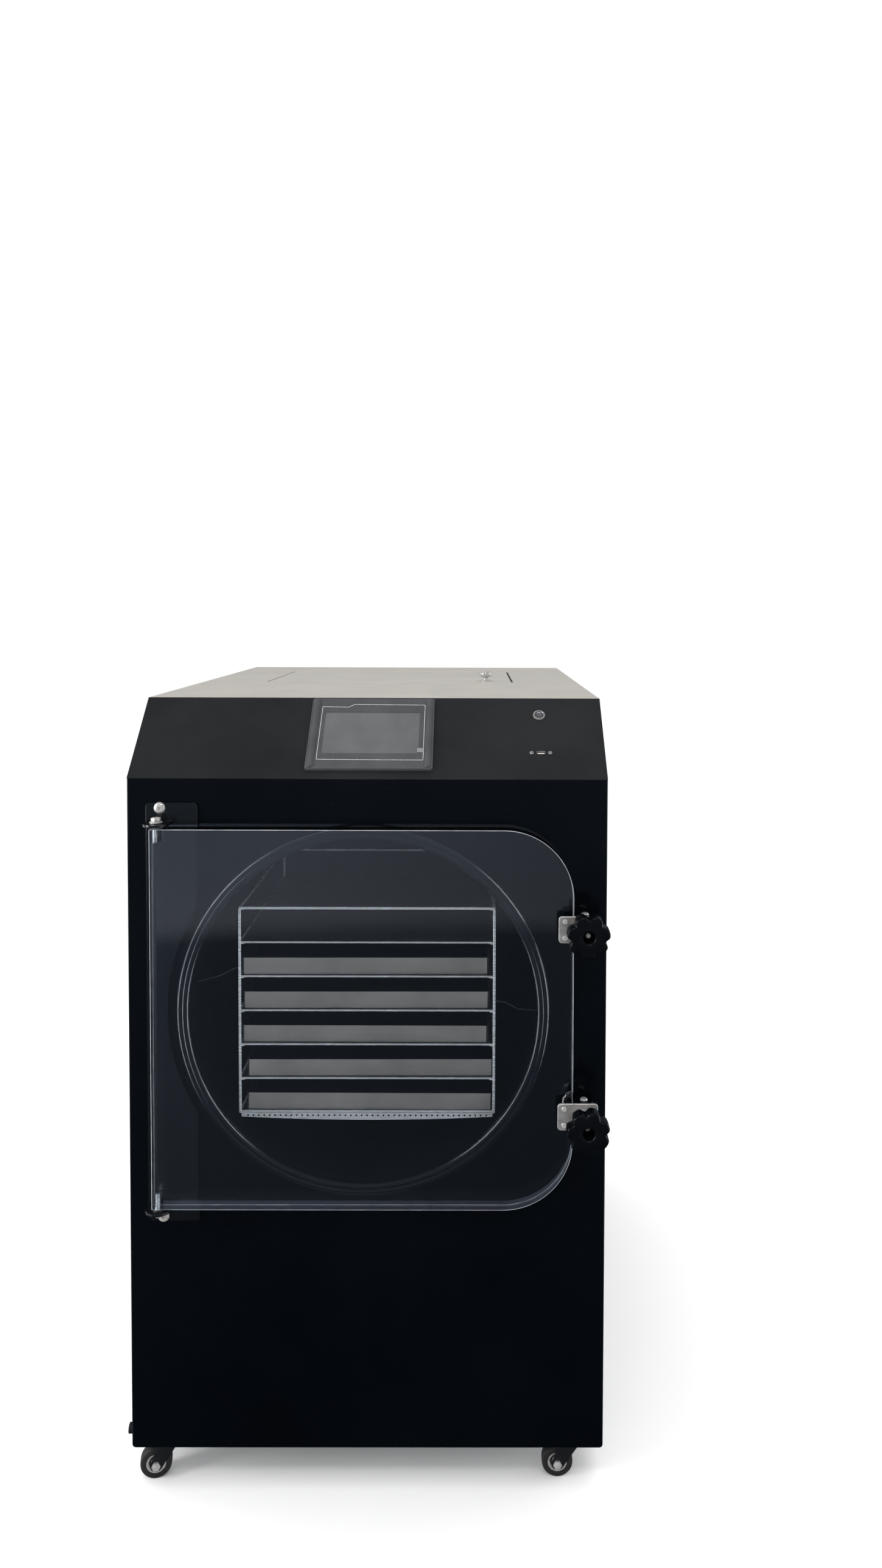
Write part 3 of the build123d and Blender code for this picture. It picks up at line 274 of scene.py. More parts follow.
finishValues = {
    paintedSheet: {  # colour, roughness, grain, grain depth, gloss, dust
        "blackPaint": ((0.0008, 0.0016, 0.0028), 0.17, 700.0, 0.03, 0.28, 0.02),
        "slopePaint": ((0.0095, 0.0105, 0.0120), 0.45, 1200.0, 0.08, 0.30, 0.04),
        # the hinge plate: the panel's black made a little lighter, a painted highlight standing in for the light along
        # its outline
        "platePaint": ((0.0020, 0.0030, 0.0042), 0.22, 700.0, 0.03, 0.8),
        # the hatch frame under the lid's gap: near-black, painted shade so that the gap reads dark
        "darkPaint": ((0.010, 0.010, 0.011), 0.40, 900.0, 0.06, 0.3),
        "greyPaint": ((0.20, 0.21, 0.22), 0.45, 800.0, 0.12, 0.4),
    },
    brushedMetal: {  # colour, roughness, stretch of the lines, line depth, stain, share of metal
        "topSteel": ((0.455, 0.435, 0.395), 0.46, (0.02, 1, 1), 0.05, 0.05, 0.30),
        "traySteel": ((0.33, 0.303, 0.282), 0.50, (0.02, 1, 1), 0.08, 0.22, 0.45),
        # the trays' inner faces: the tray steel darkened, painted shade from the shelf above
        "traySteelInside": ((0.040, 0.042, 0.045), 0.50, (0.02, 1, 1), 0.08, 0.15, 0.6),
        "rackSteel": ((0.80, 0.80, 0.80), 0.26, (0.05, 1, 1), 0.05, 0.12, 0.45),
        # the shelves' broad faces: the rack steel darkened, painted shade; the frame and the shelves' front edges keep
        # the bright steel
        "shelfSteel": ((0.20, 0.205, 0.215), 0.34, (0.02, 1, 1), 0.04, 0.10, 0.8),
        # the chamber's drum: stainless darkened nearly to black, painted shade for the dim inside of the closed
        # chamber
        "drumSteel": ((0.045, 0.051, 0.060), 0.36, (1, 0.04, 1), 0.06, 0.15, 0.85),
        "darkZinc": ((0.032, 0.034, 0.038), 0.32, (1, 1, 0.2), 0.06, 0.25, 0.7),
        "zinc": ((0.55, 0.56, 0.58), 0.30, (1, 1, 0.2), 0.06, 0.25),
        "aluminium": ((0.74, 0.75, 0.76), 0.35, (1, 1, 0.1), 0.08, 0.15),
    },
    polishedMetal: {  # colour, roughness, wear, share of metal
        "polishedSteel": ((0.80, 0.79, 0.78), 0.10, 0.2, 0.75),
        "plateSteel": ((0.42, 0.405, 0.395), 0.14, 0.35, 0.6),
        "boltSteel": ((0.74, 0.73, 0.71), 0.20, 0.3, 0.6),
        "copper": ((0.75, 0.38, 0.22), 0.28, 0.4),
    },
    mouldedPlastic: {  # colour, roughness, grain, grain depth, gloss
        "gasketRubber": ((0.004, 0.005, 0.007), 0.12, 300.0, 0.02, 0.9),
        "tyreRubber": ((0.018, 0.017, 0.017), 0.50, 500.0, 0.25, 0.35),
        "knobPlastic": ((0.0015, 0.0020, 0.0028), 0.20, 180.0, 0.03, 0.22),
        "darkPlastic": ((0.02, 0.021, 0.024), 0.42, 1400.0, 0.15, 0.4),
        "bezelPlastic": ((0.046, 0.049, 0.051), 0.40, 1500.0, 0.12, 0.4),
        "whitePlastic": ((0.62, 0.61, 0.58), 0.40, 700.0, 0.12, 0.4),
        "foamSkin": ((0.03, 0.03, 0.033), 0.8, 260.0, 0.6, 0.2),
        "screenGlass": ((0.080, 0.083, 0.087), 0.16, 40.0, 0.01, 0.5),
        "screenFilm": ((0.16, 0.17, 0.175), 0.30, 60.0, 0.05, 0.5),
    },
}
finishes = {name: make(name, *values) for make, kinds in finishValues.items() for name, values in kinds.items()}
finishes.update(acrylic=clearAcrylic(), paneRim=paneRim(), printedLine=printedLine())

nodeFinish = {
    "blackPaint": "front_panel left_side_panel right_side_panel rear_panel clamp_brackets",
    "platePaint": "hinge_plate",
    "slopePaint": "control_panel",
    "greyPaint": "base_frame floor_pan control_box compressor vacuum_pump",
    "darkPaint": "hatch_frame",
    "topSteel": "top_panel hatch_lid",
    "traySteel": "tray_1 tray_2 tray_3 tray_4 tray_5",
    "rackSteel": "shelf_rack perforated_strip vacuum_pipes",
    "drumSteel": "chamber_shell chamber_ends",
    "zinc": "usb_socket",
    "darkZinc": "caster_plates drain_pipe",
    "polishedSteel": "clamp_plates clamp_pivots clamp_washer_upper clamp_washer_lower button_body power_button",
    "boltSteel": "clamp_plate_fixings clamp_bolt_upper clamp_bolt_lower hinge_fasteners",
    "copper": "refrigerant_circuit",
    "aluminium": "condenser",
    "gasketRubber": "door_gasket",
    "knobPlastic": "clamp_knob_upper clamp_knob_lower",
    "darkPlastic": "screen_housing mains_inlet fan_shroud fan_blades",
    "bezelPlastic": "screen_bezel sensor_leads",
    "foamSkin": "foam_jacket",
    "screenGlass": "screen_glass",
    "acrylic": "door_panel",
    "tyreRubber": "",
}
casterEnds = ("front_left", "front_right", "rear_left", "rear_right")
for end in casterEnds:
    nodeFinish["darkZinc"] += f" caster_fork_{end}"
    nodeFinish["tyreRubber"] += f" caster_wheel_{end}"
for finish, nodes in nodeFinish.items():
    for node in nodes.split():
        data = frame["nodes"][node].data
        data.materials.clear()
        data.materials.append(finishes[finish])
print("finishes ready")


# making pieces

flatFace = 0.00002  # on sheet pieces, faces larger than this are shaded flat
slack = 0.0003  # play between parts that sit or slide on each other


def finishPiece(name, shape, body, finish, replaced=(), smoothAngle=32.0, flatArea=None):
    # shape is a bmesh in place; the object stays at the origin
    bmesh.ops.recalc_face_normals(shape, faces=shape.faces)
    data = bpy.data.meshes.new(name)
    shape.to_mesh(data)
    shape.free()
    piece = bpy.data.objects.new(name, data)
    bpy.context.scene.collection.objects.link(piece)
    for one in finish.split():
        data.materials.append(finishes[one])
    data.set_sharp_from_angle(angle=math.radians(smoothAngle))
    smooth = [flatArea is None or polygon.area < flatArea for polygon in data.polygons]
    data.polygons.foreach_set("use_smooth", smooth)
    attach(piece, body)
    if replaced:
        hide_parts(*replaced)


def placed(x, y, z):
    return Matrix.Translation((x, y, z))


def turnedBy(degrees, axis):
    return Matrix.Rotation(math.radians(degrees), 4, axis)


def alongY(x, z, y=0):
    # stands a turned profile's height along +Y, into the machine
    return placed(x, y, z) @ turnedBy(-90, "X")


def towardsFront(x, z, y):
    return placed(x, y, z) @ turnedBy(90, "X")


def onSlope(u, v):
    return slopeFrame @ placed(u, v, 0)


def moved(shape, matrix):
    bmesh.ops.transform(shape, matrix=matrix, verts=shape.verts)
    return shape


def bevelled(shape, geom, offset, segments, affect="EDGES", clamp=False):
    bmesh.ops.bevel(
        shape, geom=list(geom), offset=offset, offset_type="OFFSET", segments=segments,
        profile=0.5, affect=affect, material=-1, clamp_overlap=clamp,
    )


def pushed(shape, faces, along, keep=False):
    # gives faces a thickness; keep leaves the first ones closed
    made = bmesh.ops.extrude_face_region(shape, geom=faces, use_keep_orig=keep)["geom"]
    bmesh.ops.translate(shape, vec=along, verts=[v for v in made if isinstance(v, bmesh.types.BMVert)])


def framed(shape, width, along):
    # leaves a frame of one width round a flat outline, and gives it a thickness
    outline = shape.faces[:]
    bmesh.ops.inset_individual(shape, faces=outline, thickness=width, use_even_offset=True)
    bmesh.ops.delete(shape, geom=outline, context="FACES")
    pushed(shape, shape.faces[:], along, True)


def uprightFace(shape, low, high, y):
    # a rectangle across X and Z
    corners = [(low.x, y, low.z), (high.x, y, low.z), (high.x, y, high.z), (low.x, y, high.z)]
    return shape.faces.new([shape.verts.new(corner) for corner in corners])


def addBlock(shape, low, high):
    # a box between two corners
    low, high = Vector(low), Vector(high)
    place = Matrix.Translation((low + high) / 2) @ Matrix.Diagonal((*(high - low), 1))
    return bmesh.ops.create_cube(shape, size=1, matrix=place)["verts"]


def roundBlock(low, high, radius, axis, segments=5, shape=None):
    # a box whose edges along one axis are rounded
    if shape is None:
        shape = bmesh.new()
    edges = {edge for vert in addBlock(shape, low, high) for edge in vert.link_edges}
    along = [e for e in edges if abs((e.verts[0].co - e.verts[1].co)[axis]) > 1e-7]
    bevelled(shape, along, radius, segments)
    return shape


def mirrored(half):
    # a profile's lower half and the same again upside down
    return half + [(r, -h) for r, h in reversed(half)]


def domeOf(radius, low, high, power, degrees):
    # profile points of a flattened dome
    return [(radius * math.cos(a) ** power, low + (high - low) * math.sin(a)) for a in map(math.radians, degrees)]


def turned(profile, place=Matrix(), steps=40, closed=False):
    # profile: (radius, height) pairs turned about Z, then placed
    shape = bmesh.new()
    verts = [shape.verts.new((r, 0, h)) for r, h in profile]
    edges = [shape.edges.new(pair) for pair in zip(verts, verts[1:])]
    if closed:
        edges.append(shape.edges.new((verts[-1], verts[0])))
    bmesh.ops.spin(
        shape, geom=verts + edges, cent=(0, 0, 0), axis=(0, 0, 1), dvec=(0, 0, 0),
        angle=math.tau, steps=steps, use_merge=True, use_duplicate=False,
    )
    bmesh.ops.remove_doubles(shape, verts=shape.verts, dist=1e-7)
    bmesh.ops.recalc_face_normals(shape, faces=shape.faces)
    return moved(shape, place)


def discOf(radius, low, high, place=Matrix(), steps=40, edge=0.0):
    # a round with both rims broken
    e, cut = edge, edge * 0.3
    rim = [(radius, low), (radius, high)]
    if edge:
        rim = [(radius - cut, low + cut), (radius, low + e), (radius, high - e), (radius - cut, high - cut)]
    return turned([(0, low), (radius - e, low), *rim, (radius - e, high), (0, high)], place, steps)


def ringOf(outer, inner, low, high, place=Matrix(), steps=40, edge=0.0004):
    e = edge
    profile = [
        (inner, low + e), (inner + e, low), (outer - e, low), (outer, low + e),
        (outer, high - e), (outer - e, high), (inner + e, high), (inner, high - e),
    ]
    return turned(profile, place, steps, closed=True)


def hexagonOf(acrossFlats, low, high, chamfer):
    # a hexagonal head with chamfered corners
    shape = bmesh.new()
    radius = acrossFlats / math.sqrt(3)
    made = bmesh.ops.create_cone(
        shape, cap_ends=True, segments=6, radius1=radius, radius2=radius, depth=high - low,
        matrix=placed(0, 0, (low + high) / 2),
    )["verts"]
    bevelled(shape, {edge for vert in made for edge in vert.link_edges}, chamfer, 2)
    return shape


def joined(*shapes):
    whole = bmesh.new()
    for shape in shapes:
        data = bpy.data.meshes.new("part")
        shape.to_mesh(data)
        shape.free()
        whole.from_mesh(data)
        bpy.data.meshes.remove(data)
    return whole


def screwThread(core, crest, pitch, low, high, place, steps=24):
    # a helical ridge on a core: a small tooth spun up the axis
    shape = discOf(core, low, high, place, 32, 0.0003)
    ridge = bmesh.new()
    turns = max(1, int((high - low) / pitch) - 1)
    root = core - 0.0002
    tooth = [(root, 0), (crest, pitch * 0.42), (crest, pitch * 0.58), (root, pitch)]
    verts = [ridge.verts.new((r, 0, low + h)) for r, h in tooth]
    edges = [ridge.edges.new(pair) for pair in zip(verts, verts[1:])]
    bmesh.ops.spin(
        ridge, geom=verts + edges, cent=(0, 0, 0), axis=(0, 0, 1), dvec=(0, 0, pitch / steps),
        angle=math.tau * turns, steps=steps * turns, use_merge=False, use_duplicate=False,
    )
    bmesh.ops.holes_fill(ridge, edges=ridge.edges, sides=4)
    return joined(shape, moved(ridge, place))


def asObject(shape, name):
    data = bpy.data.meshes.new(name)
    shape.to_mesh(data)
    shape.free()
    thing = bpy.data.objects.new(name, data)
    bpy.context.scene.collection.objects.link(thing)
    return thing


def carved(shape, *cutters):
    # the shape with each cutter taken out of it
    base = asObject(shape, "base")
    things = [base]
    for cutter in cutters:
        bmesh.ops.recalc_face_normals(cutter, faces=cutter.faces)
        modifier = base.modifiers.new("cut", "BOOLEAN")
        modifier.operation = "DIFFERENCE"
        modifier.solver = "EXACT"
        modifier.object = asObject(cutter, "cutter")
        things.append(modifier.object)
    result = bmesh.new()
    result.from_object(base, bpy.context.evaluated_depsgraph_get())
    for thing in things:
        data = thing.data
        bpy.data.objects.remove(thing)
        bpy.data.meshes.remove(data)
    return result


def creasesOf(shape, angle):
    return [e for e in shape.edges if len(e.link_faces) == 2 and e.calc_face_angle(0) > angle]


def softened(node, width, angle=30.0, without=None):
    # a merged copy of a CAD node's mesh with its hard edges broken; without is a round to leave out
    shape = bmesh.new()
    shape.from_mesh(frame["nodes"][node].data)
    bmesh.ops.remove_doubles(shape, verts=shape.verts, dist=2e-6)
    if without:
        x, y, radius = without
        inside = [v for v in shape.verts if math.hypot(v.co.x - x, v.co.y - y) < radius]
        bmesh.ops.delete(shape, geom=inside, context="VERTS")
    bmesh.ops.dissolve_limit(
        shape, angle_limit=math.radians(0.4), use_dissolve_boundaries=False,
        verts=shape.verts, edges=shape.edges,
    )
    bevelled(shape, creasesOf(shape, math.radians(angle)), width, 2, clamp=True)
    bmesh.ops.dissolve_degenerate(shape, dist=1e-6, edges=shape.edges)
    return shape


# door pane

pane = {
    "cornerRadius": 0.107, "cornerSteps": 28, "edgeBreak": 0.0013, "boreRadius": 0.00455, "boreDepth": 0.0225,
    "chipRadius": 0.0165, "chipDepth": 0.0036, "chipHeight": 0.6505, "chipRough": 0.012,
}


def makeChip():
    # the broken fan at the right edge: a shallow ball with uneven facets
    depth = pane["chipDepth"]
    ball = (pane["chipRadius"] ** 2 + depth**2) / (2 * depth)
    chip = bmesh.new()
    bmesh.ops.create_icosphere(chip, subdivisions=5, radius=ball)
    for vert in chip.verts:
        wave = math.sin(vert.co.z * 2100 + vert.co.x * 900) * math.sin(vert.co.x * 1700)
        vert.co *= 1 + pane["chipRough"] * wave
    return moved(chip, placed(doorHigh.x, doorLow.y - ball + depth, pane["chipHeight"]))


def makeDoor():
    shape = bmesh.new()
    outline = uprightFace(shape, doorLow, doorHigh, doorLow.y)
    right = [v for v in outline.verts if v.co.x > doorMid.x]
    bevelled(shape, right, pane["cornerRadius"], pane["cornerSteps"], "VERTICES")
    pushed(shape, shape.faces[:], (0, doorHigh.y - doorLow.y, 0))
    rims = [e for e in shape.edges if abs(e.verts[0].co.y - e.verts[1].co.y) < 1e-7]
    bevelled(shape, rims, pane["edgeBreak"], 2)
    bmesh.ops.recalc_face_normals(shape, faces=shape.faces)
    bores = []
    r, deep, over = pane["boreRadius"], pane["boreDepth"], 0.001
    for low, high in ((doorLow.z - over, doorLow.z + deep), (doorHigh.z - deep, doorHigh.z + over)):
        bores.append(turned([(0, low), (r, low), (r, high), (0, high)], placed(hingeX, doorMid.y, 0), 32))
    shape = carved(shape, makeChip(), *bores)
    for face in shape.faces:
        atRim = min(abs(v.co.y - y) for v in face.verts for y in (doorLow.y, doorHigh.y)) < 0.00001
        face.material_index = int(atRim and 0.2 < abs(face.normal.y) < 0.97)
    return shape


finishPiece("doorPane", makeDoor(), "door", "acrylic paneRim", ("door_panel",), 30, flatFace)
print("door pane done")


# gasket

gasket = {
    "width": 0.020, "lipRadius": 0.0055, "lipSteps": 5, "crease": (0.0085, 0.0100, 0.0115), "creaseDepth": 0.0007,
    "heelDepth": 0.0071, "heelWidth": 0.0062, "steps": 160,
}


def makeGasket():
    low, high, middle = spanOf("door_gasket")
    outer = (high.x - low.x) / 2
    inner = outer - gasket["width"]
    front, back = low.y, high.y
    r, count = gasket["lipRadius"], gasket["lipSteps"]
    start, bottom, end = (outer - inset for inset in gasket["crease"])
    heel = front + gasket["heelDepth"]
    bends = [math.radians(90 * step / count) for step in range(count + 1)]
    profile = [(outer, back), (outer, front + r)]
    profile += [(outer - r + r * math.cos(a), front + r - r * math.sin(a)) for a in bends[1:]]
    profile += [(start, front), (bottom, front + gasket["creaseDepth"]), (end, front)]
    profile += [(inner + r - r * math.cos(a), front + r - r * math.sin(a)) for a in reversed(bends)]
    profile += [(inner, heel), (inner + gasket["heelWidth"], heel), (inner + gasket["heelWidth"], back)]
    return turned(profile, alongY(middle.x, middle.z), gasket["steps"], closed=True)


finishPiece("doorGasket", makeGasket(), "cabinet", "gasketRubber", ("door_gasket",), 50)
print("gasket done")


# chamber drum and the two ledges under the rack

drum = {
    "wall": 0.003, "rimRound": 0.0012, "steps": 160, "drainRadius": 0.007, "drainDepth": 0.128,
    "ledge": 0.003, "ledgeInset": 0.007, "ledgeFront": 0.046, "ledgeBack": 0.004,
    "seam": ((-0.001, 0.006), (0.0016, 0.004), (0.0022, 0.002), (0.0016, 0)),  # inwards, before the back
}


def makeDrum():
    outer = (drumHigh.x - drumLow.x) / 2
    inner = outer - drum["wall"]
    rim, back = drumLow.y, drumHigh.y
    r, cut = drum["rimRound"], drum["rimRound"] * 0.3
    profile = [
        (inner, back), (inner, rim + r), (inner + cut, rim + cut), (inner + r, rim),
        (outer - r, rim), (outer - cut, rim + cut), (outer, rim + r), (outer, back),
    ]
    middle = alongY(mouthX, mouthZ)
    shell = turned(profile, middle, drum["steps"], closed=True)
    drainPlace = placed(mouthX, frontY + drum["drainDepth"], 0)
    drain = discOf(drum["drainRadius"], mouthZ - outer - 0.01, mouthZ - inner + 0.03, drainPlace, 32)
    shell = carved(shell, drain)
    # a welded seam where the back plate closes the drum
    seam = turned([(inner - i, back - b) for i, b in drum["seam"]], middle, drum["steps"])
    ledges = bmesh.new()
    seat = rackLow.z - slack
    under = seat - drum["ledge"]
    for side, edge in ((-1, rackLow.x), (1, rackHigh.x)):
        wall = mouthX + side * math.sqrt(inner**2 - (under - mouthZ) ** 2)
        low, high = sorted((edge - side * drum["ledgeInset"], wall + side * 0.001))
        front, end = rackLow.y + drum["ledgeFront"], rackHigh.y - drum["ledgeBack"]
        roundBlock((low, front, under), (high, end, seat), 0.0007, 1, 3, ledges)
    return joined(shell, seam, ledges)


finishPiece("chamberDrum", makeDrum(), "cabinet", "drumSteel", ("chamber_shell",), 40)
print("drum done")


# shelf rack: two bent end frames, side rails and six shelves

rack = {
    "bar": 0.004, "sheet": 0.003, "pitch": 0.05395, "levels": 7, "bend": 0.0045, "edge": 0.0009,
    "shelfEdge": 0.0013, "shelfArea": 0.05, "weld": 0.0026, "weldShape": (1.5, 0.55, 0.55),
}


def shelfLevel(index):
    # top face of a shelf, counted from the bottom one
    return rackLow.z + rack["sheet"] + index * rack["pitch"]


def makeEndFrame(front):
    # a rectangle of bar with bent top corners
    shape = bmesh.new()
    top = [v for v in uprightFace(shape, rackLow, rackHigh, front).verts if v.co.z > rackMid.z]
    bevelled(shape, top, rack["bend"], 6, "VERTICES")
    framed(shape, rack["bar"], (0, rack["bar"], 0))
    bmesh.ops.remove_doubles(shape, verts=shape.verts, dist=1e-7)
    bmesh.ops.recalc_face_normals(shape, faces=shape.faces)
    bevelled(shape, creasesOf(shape, 1.2), rack["edge"], 3)
    return shape


def makeRack():
    low, high, bar, sheet = rackLow, rackHigh, rack["bar"], rack["sheet"]
    shape = bmesh.new()
    for index in range(rack["levels"]):
        z = shelfLevel(index)
        for x in (low.x, high.x - bar):
            roundBlock((x, low.y + bar, z - sheet), (x + bar, high.y - bar, z), rack["edge"], 1, 3, shape)
        if index < rack["levels"] - 1:
            ends = (low.x + bar, low.y, z - sheet), (high.x - bar, high.y, z)
            roundBlock(*ends, rack["shelfEdge"], 0, 4, shape)
    # small weld beads in the corners under each shelf
    bead = rack["weld"]
    for index in range(rack["levels"]):
        z = shelfLevel(index) - sheet - slack
        for side, x in ((1, low.x + bar), (-1, high.x - bar)):
            place = placed(x + side * bead * 0.7, low.y + 0.0016, z) @ Matrix.Diagonal((*rack["weldShape"], 1))
            bmesh.ops.create_icosphere(shape, subdivisions=2, radius=bead, matrix=place)
    whole = joined(makeEndFrame(low.y), makeEndFrame(high.y - bar), shape)
    # broad shelf faces take the second finish, the darker steel: painted shade
    for face in whole.faces:
        face.material_index = int(face.calc_area() > rack["shelfArea"])
    return whole


finishPiece("shelfRack", makeRack(), "cabinet", "rackSteel shelfSteel", ("shelf_rack",), 35)
print("rack done")


# five trays, each set down a little askew

tray = {
    "width": 0.388, "depth": 0.405, "height": 0.027, "wall": 0.0012, "corner": 0.006,
    "floorRound": 0.0014, "fold": 0.0018, "rim": 0.0005, "turns": (0.35, 0.25, -0.2, 0.3, -0.25),
}


def makeTray(node, degrees):
    low, high, middle = spanOf(node)
    w, d, wall, rim = tray["width"] / 2, tray["depth"] / 2, tray["wall"], tray["height"] - 1e-6
    shape = roundBlock((-w, -d, 0), (w, d, tray["height"]), tray["corner"], 2, 6)
    top = [f for f in shape.faces if f.calc_center_median().z > rim]
    bmesh.ops.inset_region(shape, faces=top, thickness=wall, use_even_offset=True)
    pushed(shape, top, (0, 0, wall - tray["height"]))
    bmesh.ops.delete(shape, geom=top, context="FACES_ONLY")
    floorEdges = [e for e in shape.edges if all(abs(v.co.z - wall) < 1e-6 for v in e.verts)]
    underEdges = [e for e in shape.edges if all(v.co.z < 1e-6 for v in e.verts)]
    rimEdges = [e for e in shape.edges if all(v.co.z > rim for v in e.verts) and e.calc_face_angle(0) > 1]
    bevelled(shape, floorEdges, tray["floorRound"], 3)
    bevelled(shape, underEdges, tray["fold"], 4)
    bevelled(shape, rimEdges, tray["rim"], 3)
    # inner faces take the second finish, the darkened tray steel: painted shade from the shelf above
    for face in shape.faces:
        spot = face.calc_center_median()
        inside = abs(spot.x) < w - wall * 0.6 and abs(spot.y) < d - wall * 0.6 and spot.z > wall * 0.5
        face.material_index = int(inside)
    return moved(shape, placed(middle.x, middle.y, low.z) @ turnedBy(degrees, "Z"))


for number, degrees in enumerate(tray["turns"], 1):
    node = f"tray_{number}"
    shape = makeTray(node, degrees)
    finishPiece(f"tray{number}", shape, "cabinet", "traySteel traySteelInside", (node,), 35)
print("trays done")


# sheet metal: the cabinet's panels with their folded edges broken

sheets = {
    "front_panel": ("frontPanel", 0.0006, "black_paint", "blackPaint"),
    "control_panel": ("slopedPanel", 0.0008, "charcoal_paint", "slopePaint"),
    "top_panel": ("topSheet", 0.0007, "top_steel", "topSteel"),
    "hinge_plate": ("hingePlate", 0.0010, "black_paint", "platePaint"),
    "clamp_brackets": ("clampBrackets", 0.0006, "black_paint", "blackPaint"),
}
for node, (name, width, slot, finish) in sheets.items():
    finishPiece(name, softened(node, width), "cabinet", finish, (node,), 30, flatFace)
print("sheet metal done")


# hinge bolts, spacers and the two cross-head screws

hinge = {
    "shank": 0.0045, "depth": 0.022, "spacer": 0.009, "spacerThick": 0.003, "washer": 0.010, "washerThick": 0.002,
    "head": 0.0139, "headHigh": 0.006, "socket": 0.0032, "socketDepth": 0.0025, "ear": 0.004,
    "screwRadius": 0.009, "screwHigh": 0.005, "screwShank": (0.004, 0.010), "screwOver": 0.027, "plate": 0.005,
    "cross": (0.0042, 0.00075, 0.0022),  # half length, half width, depth
}


def makeHingeBolt(doorEdge, degrees):
    # built upwards from the door's edge, then turned over for the lower one
    shank, depth = hinge["shank"], hinge["depth"]
    base = slack + hinge["spacerThick"]
    ear = base + slack + hinge["ear"]
    top = ear + hinge["washerThick"]
    crown = top + hinge["headHigh"]
    spacer = ringOf(hinge["spacer"], shank, slack, base, edge=0.0006)
    washer = ringOf(hinge["washer"], shank, ear, top, edge=0.0007)
    tip = [(0, -depth), (shank - 0.0018, -depth), (shank, -depth + 0.003)]
    bolt = turned(tip + [(shank, top + 0.0005), (0, top + 0.0005)], steps=32)
    socket = discOf(hinge["socket"], crown - hinge["socketDepth"], crown + 0.002, steps=6)
    head = carved(hexagonOf(hinge["head"], top, crown, 0.0009), socket)
    return moved(joined(spacer, washer, bolt, head), placed(hingeX, doorMid.y, doorEdge) @ turnedBy(degrees, "X"))


def makeCrossScrew(x, z, turn):
    radius, high, lip = hinge["screwRadius"], hinge["screwHigh"], 0.0006
    thick, deep = hinge["screwShank"]
    long, wide, cut = hinge["cross"]
    dome = [(0, -deep), (thick, -deep), (thick, 0), (radius - lip, 0), (radius, lip)]
    dome += domeOf(radius, lip, high, 0.75, [i * 90 / 7 for i in range(1, 7)]) + [(0, high)]
    slots = []
    for quarter in (0, 90):
        slot = bmesh.new()
        for vert in addBlock(slot, (-long, -wide, high - cut), (long, wide, high + 0.002)):
            if vert.co.z < high:
                vert.co.x *= 0.45
                vert.co.y *= 0.7
        slots.append(moved(slot, turnedBy(quarter + turn, "Z")))
    head = carved(turned(dome), *slots)
    return moved(head, towardsFront(x, z, frontY - hinge["plate"]))


fasteners = joined(
    makeHingeBolt(doorHigh.z, 0), makeHingeBolt(doorLow.z, 180),
    makeCrossScrew(hingeX, doorHigh.z + hinge["screwOver"], 38),
    makeCrossScrew(hingeX + 0.002, doorLow.z - hinge["screwOver"], 15),
)
finishPiece("hingeFasteners", fasteners, "cabinet", "boltSteel", ("hinge_fasteners",))
print("hinge done")


# door clamps: plate, rivets and keeper on the door; pivot, washer, knob and bolt

clamp = {
    "plateThick": 0.003, "plateCorner": 0.005, "plateEdge": 0.0009,
    "windowWide": 0.023, "windowHigh": 0.022, "windowCorner": 0.003, "windowEdge": 0.005,
    "rivet": 0.004, "rivetHigh": 0.0016, "rivetShank": 0.0025, "rivetBack": 0.032, "rivetStep": 0.0125,
    "rivetShape": ((1, 0), (1, 0.45), (0.86, 0.85), (0.6, 1), (0.36, 1), (0.2, 0.45), (0, 0.4)),
    "keeper": (0.006, 0.002, 0.0165), "keeperCorner": 0.002,
    "bolt": 0.004, "thread": 0.005, "threadLong": 0.006, "pitch": 0.0015,
}
plateLow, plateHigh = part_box("clamp_plates")
doorFace = doorLow.y
plateFront = doorFace - clamp["plateThick"]
clampEnds = ("upper", "lower")
clampZ = {end: jointPlace(f"clamp_turn_{end}").z for end in clampEnds}
clampX = jointPlace("clamp_turn_upper").x


def makeClampPlate(end):
    z, half = clampZ[end], plateHigh.z - clampZ["upper"]
    corners = (plateLow.x, plateFront, z - half), (plateHigh.x, doorFace, z + half)
    shape = roundBlock(*corners, clamp["plateCorner"], 1, 6)
    right, w = plateHigh.x - clamp["windowEdge"], clamp["windowHigh"] / 2
    opening = (right - clamp["windowWide"], doorFace - 0.006, z - w), (right, doorFace + 0.003, z + w)
    shape = carved(shape, roundBlock(*opening, clamp["windowCorner"], 1, 5))
    atFront = [e for e in shape.edges if all(abs(v.co.y - plateFront) < 1e-5 for v in e.verts)]
    bevelled(shape, [e for e in atFront if e.calc_face_angle(0) > 1], clamp["plateEdge"], 3)
    return shape


def makePlateFixings(end):
    z, shank = clampZ[end], clamp["rivetShank"]
    head = [(clamp["rivet"] * r, clamp["rivetHigh"] * h) for r, h in clamp["rivetShape"]]
    profile = [(0, -0.003), (shank, -0.003), (shank, 0), *head]
    parts = []
    for step in (-1, 1):
        place = towardsFront(clampX - clamp["rivetBack"], z + step * clamp["rivetStep"], plateFront)
        parts.append(turned(profile, place, 28))
    w, thick, h = clamp["keeper"]
    ends = (clampX - w, doorFace, z - h), (clampX + w, doorFace + thick, z + h)
    keeper = roundBlock(*ends, clamp["keeperCorner"], 1, 4)
    hole = discOf(clamp["bolt"] + slack, -0.003, 0.006, alongY(clampX, z, doorFace), 32)
    return joined(*parts, carved(keeper, hole))


clampPlates = joined(*(makeClampPlate(end) for end in clampEnds))
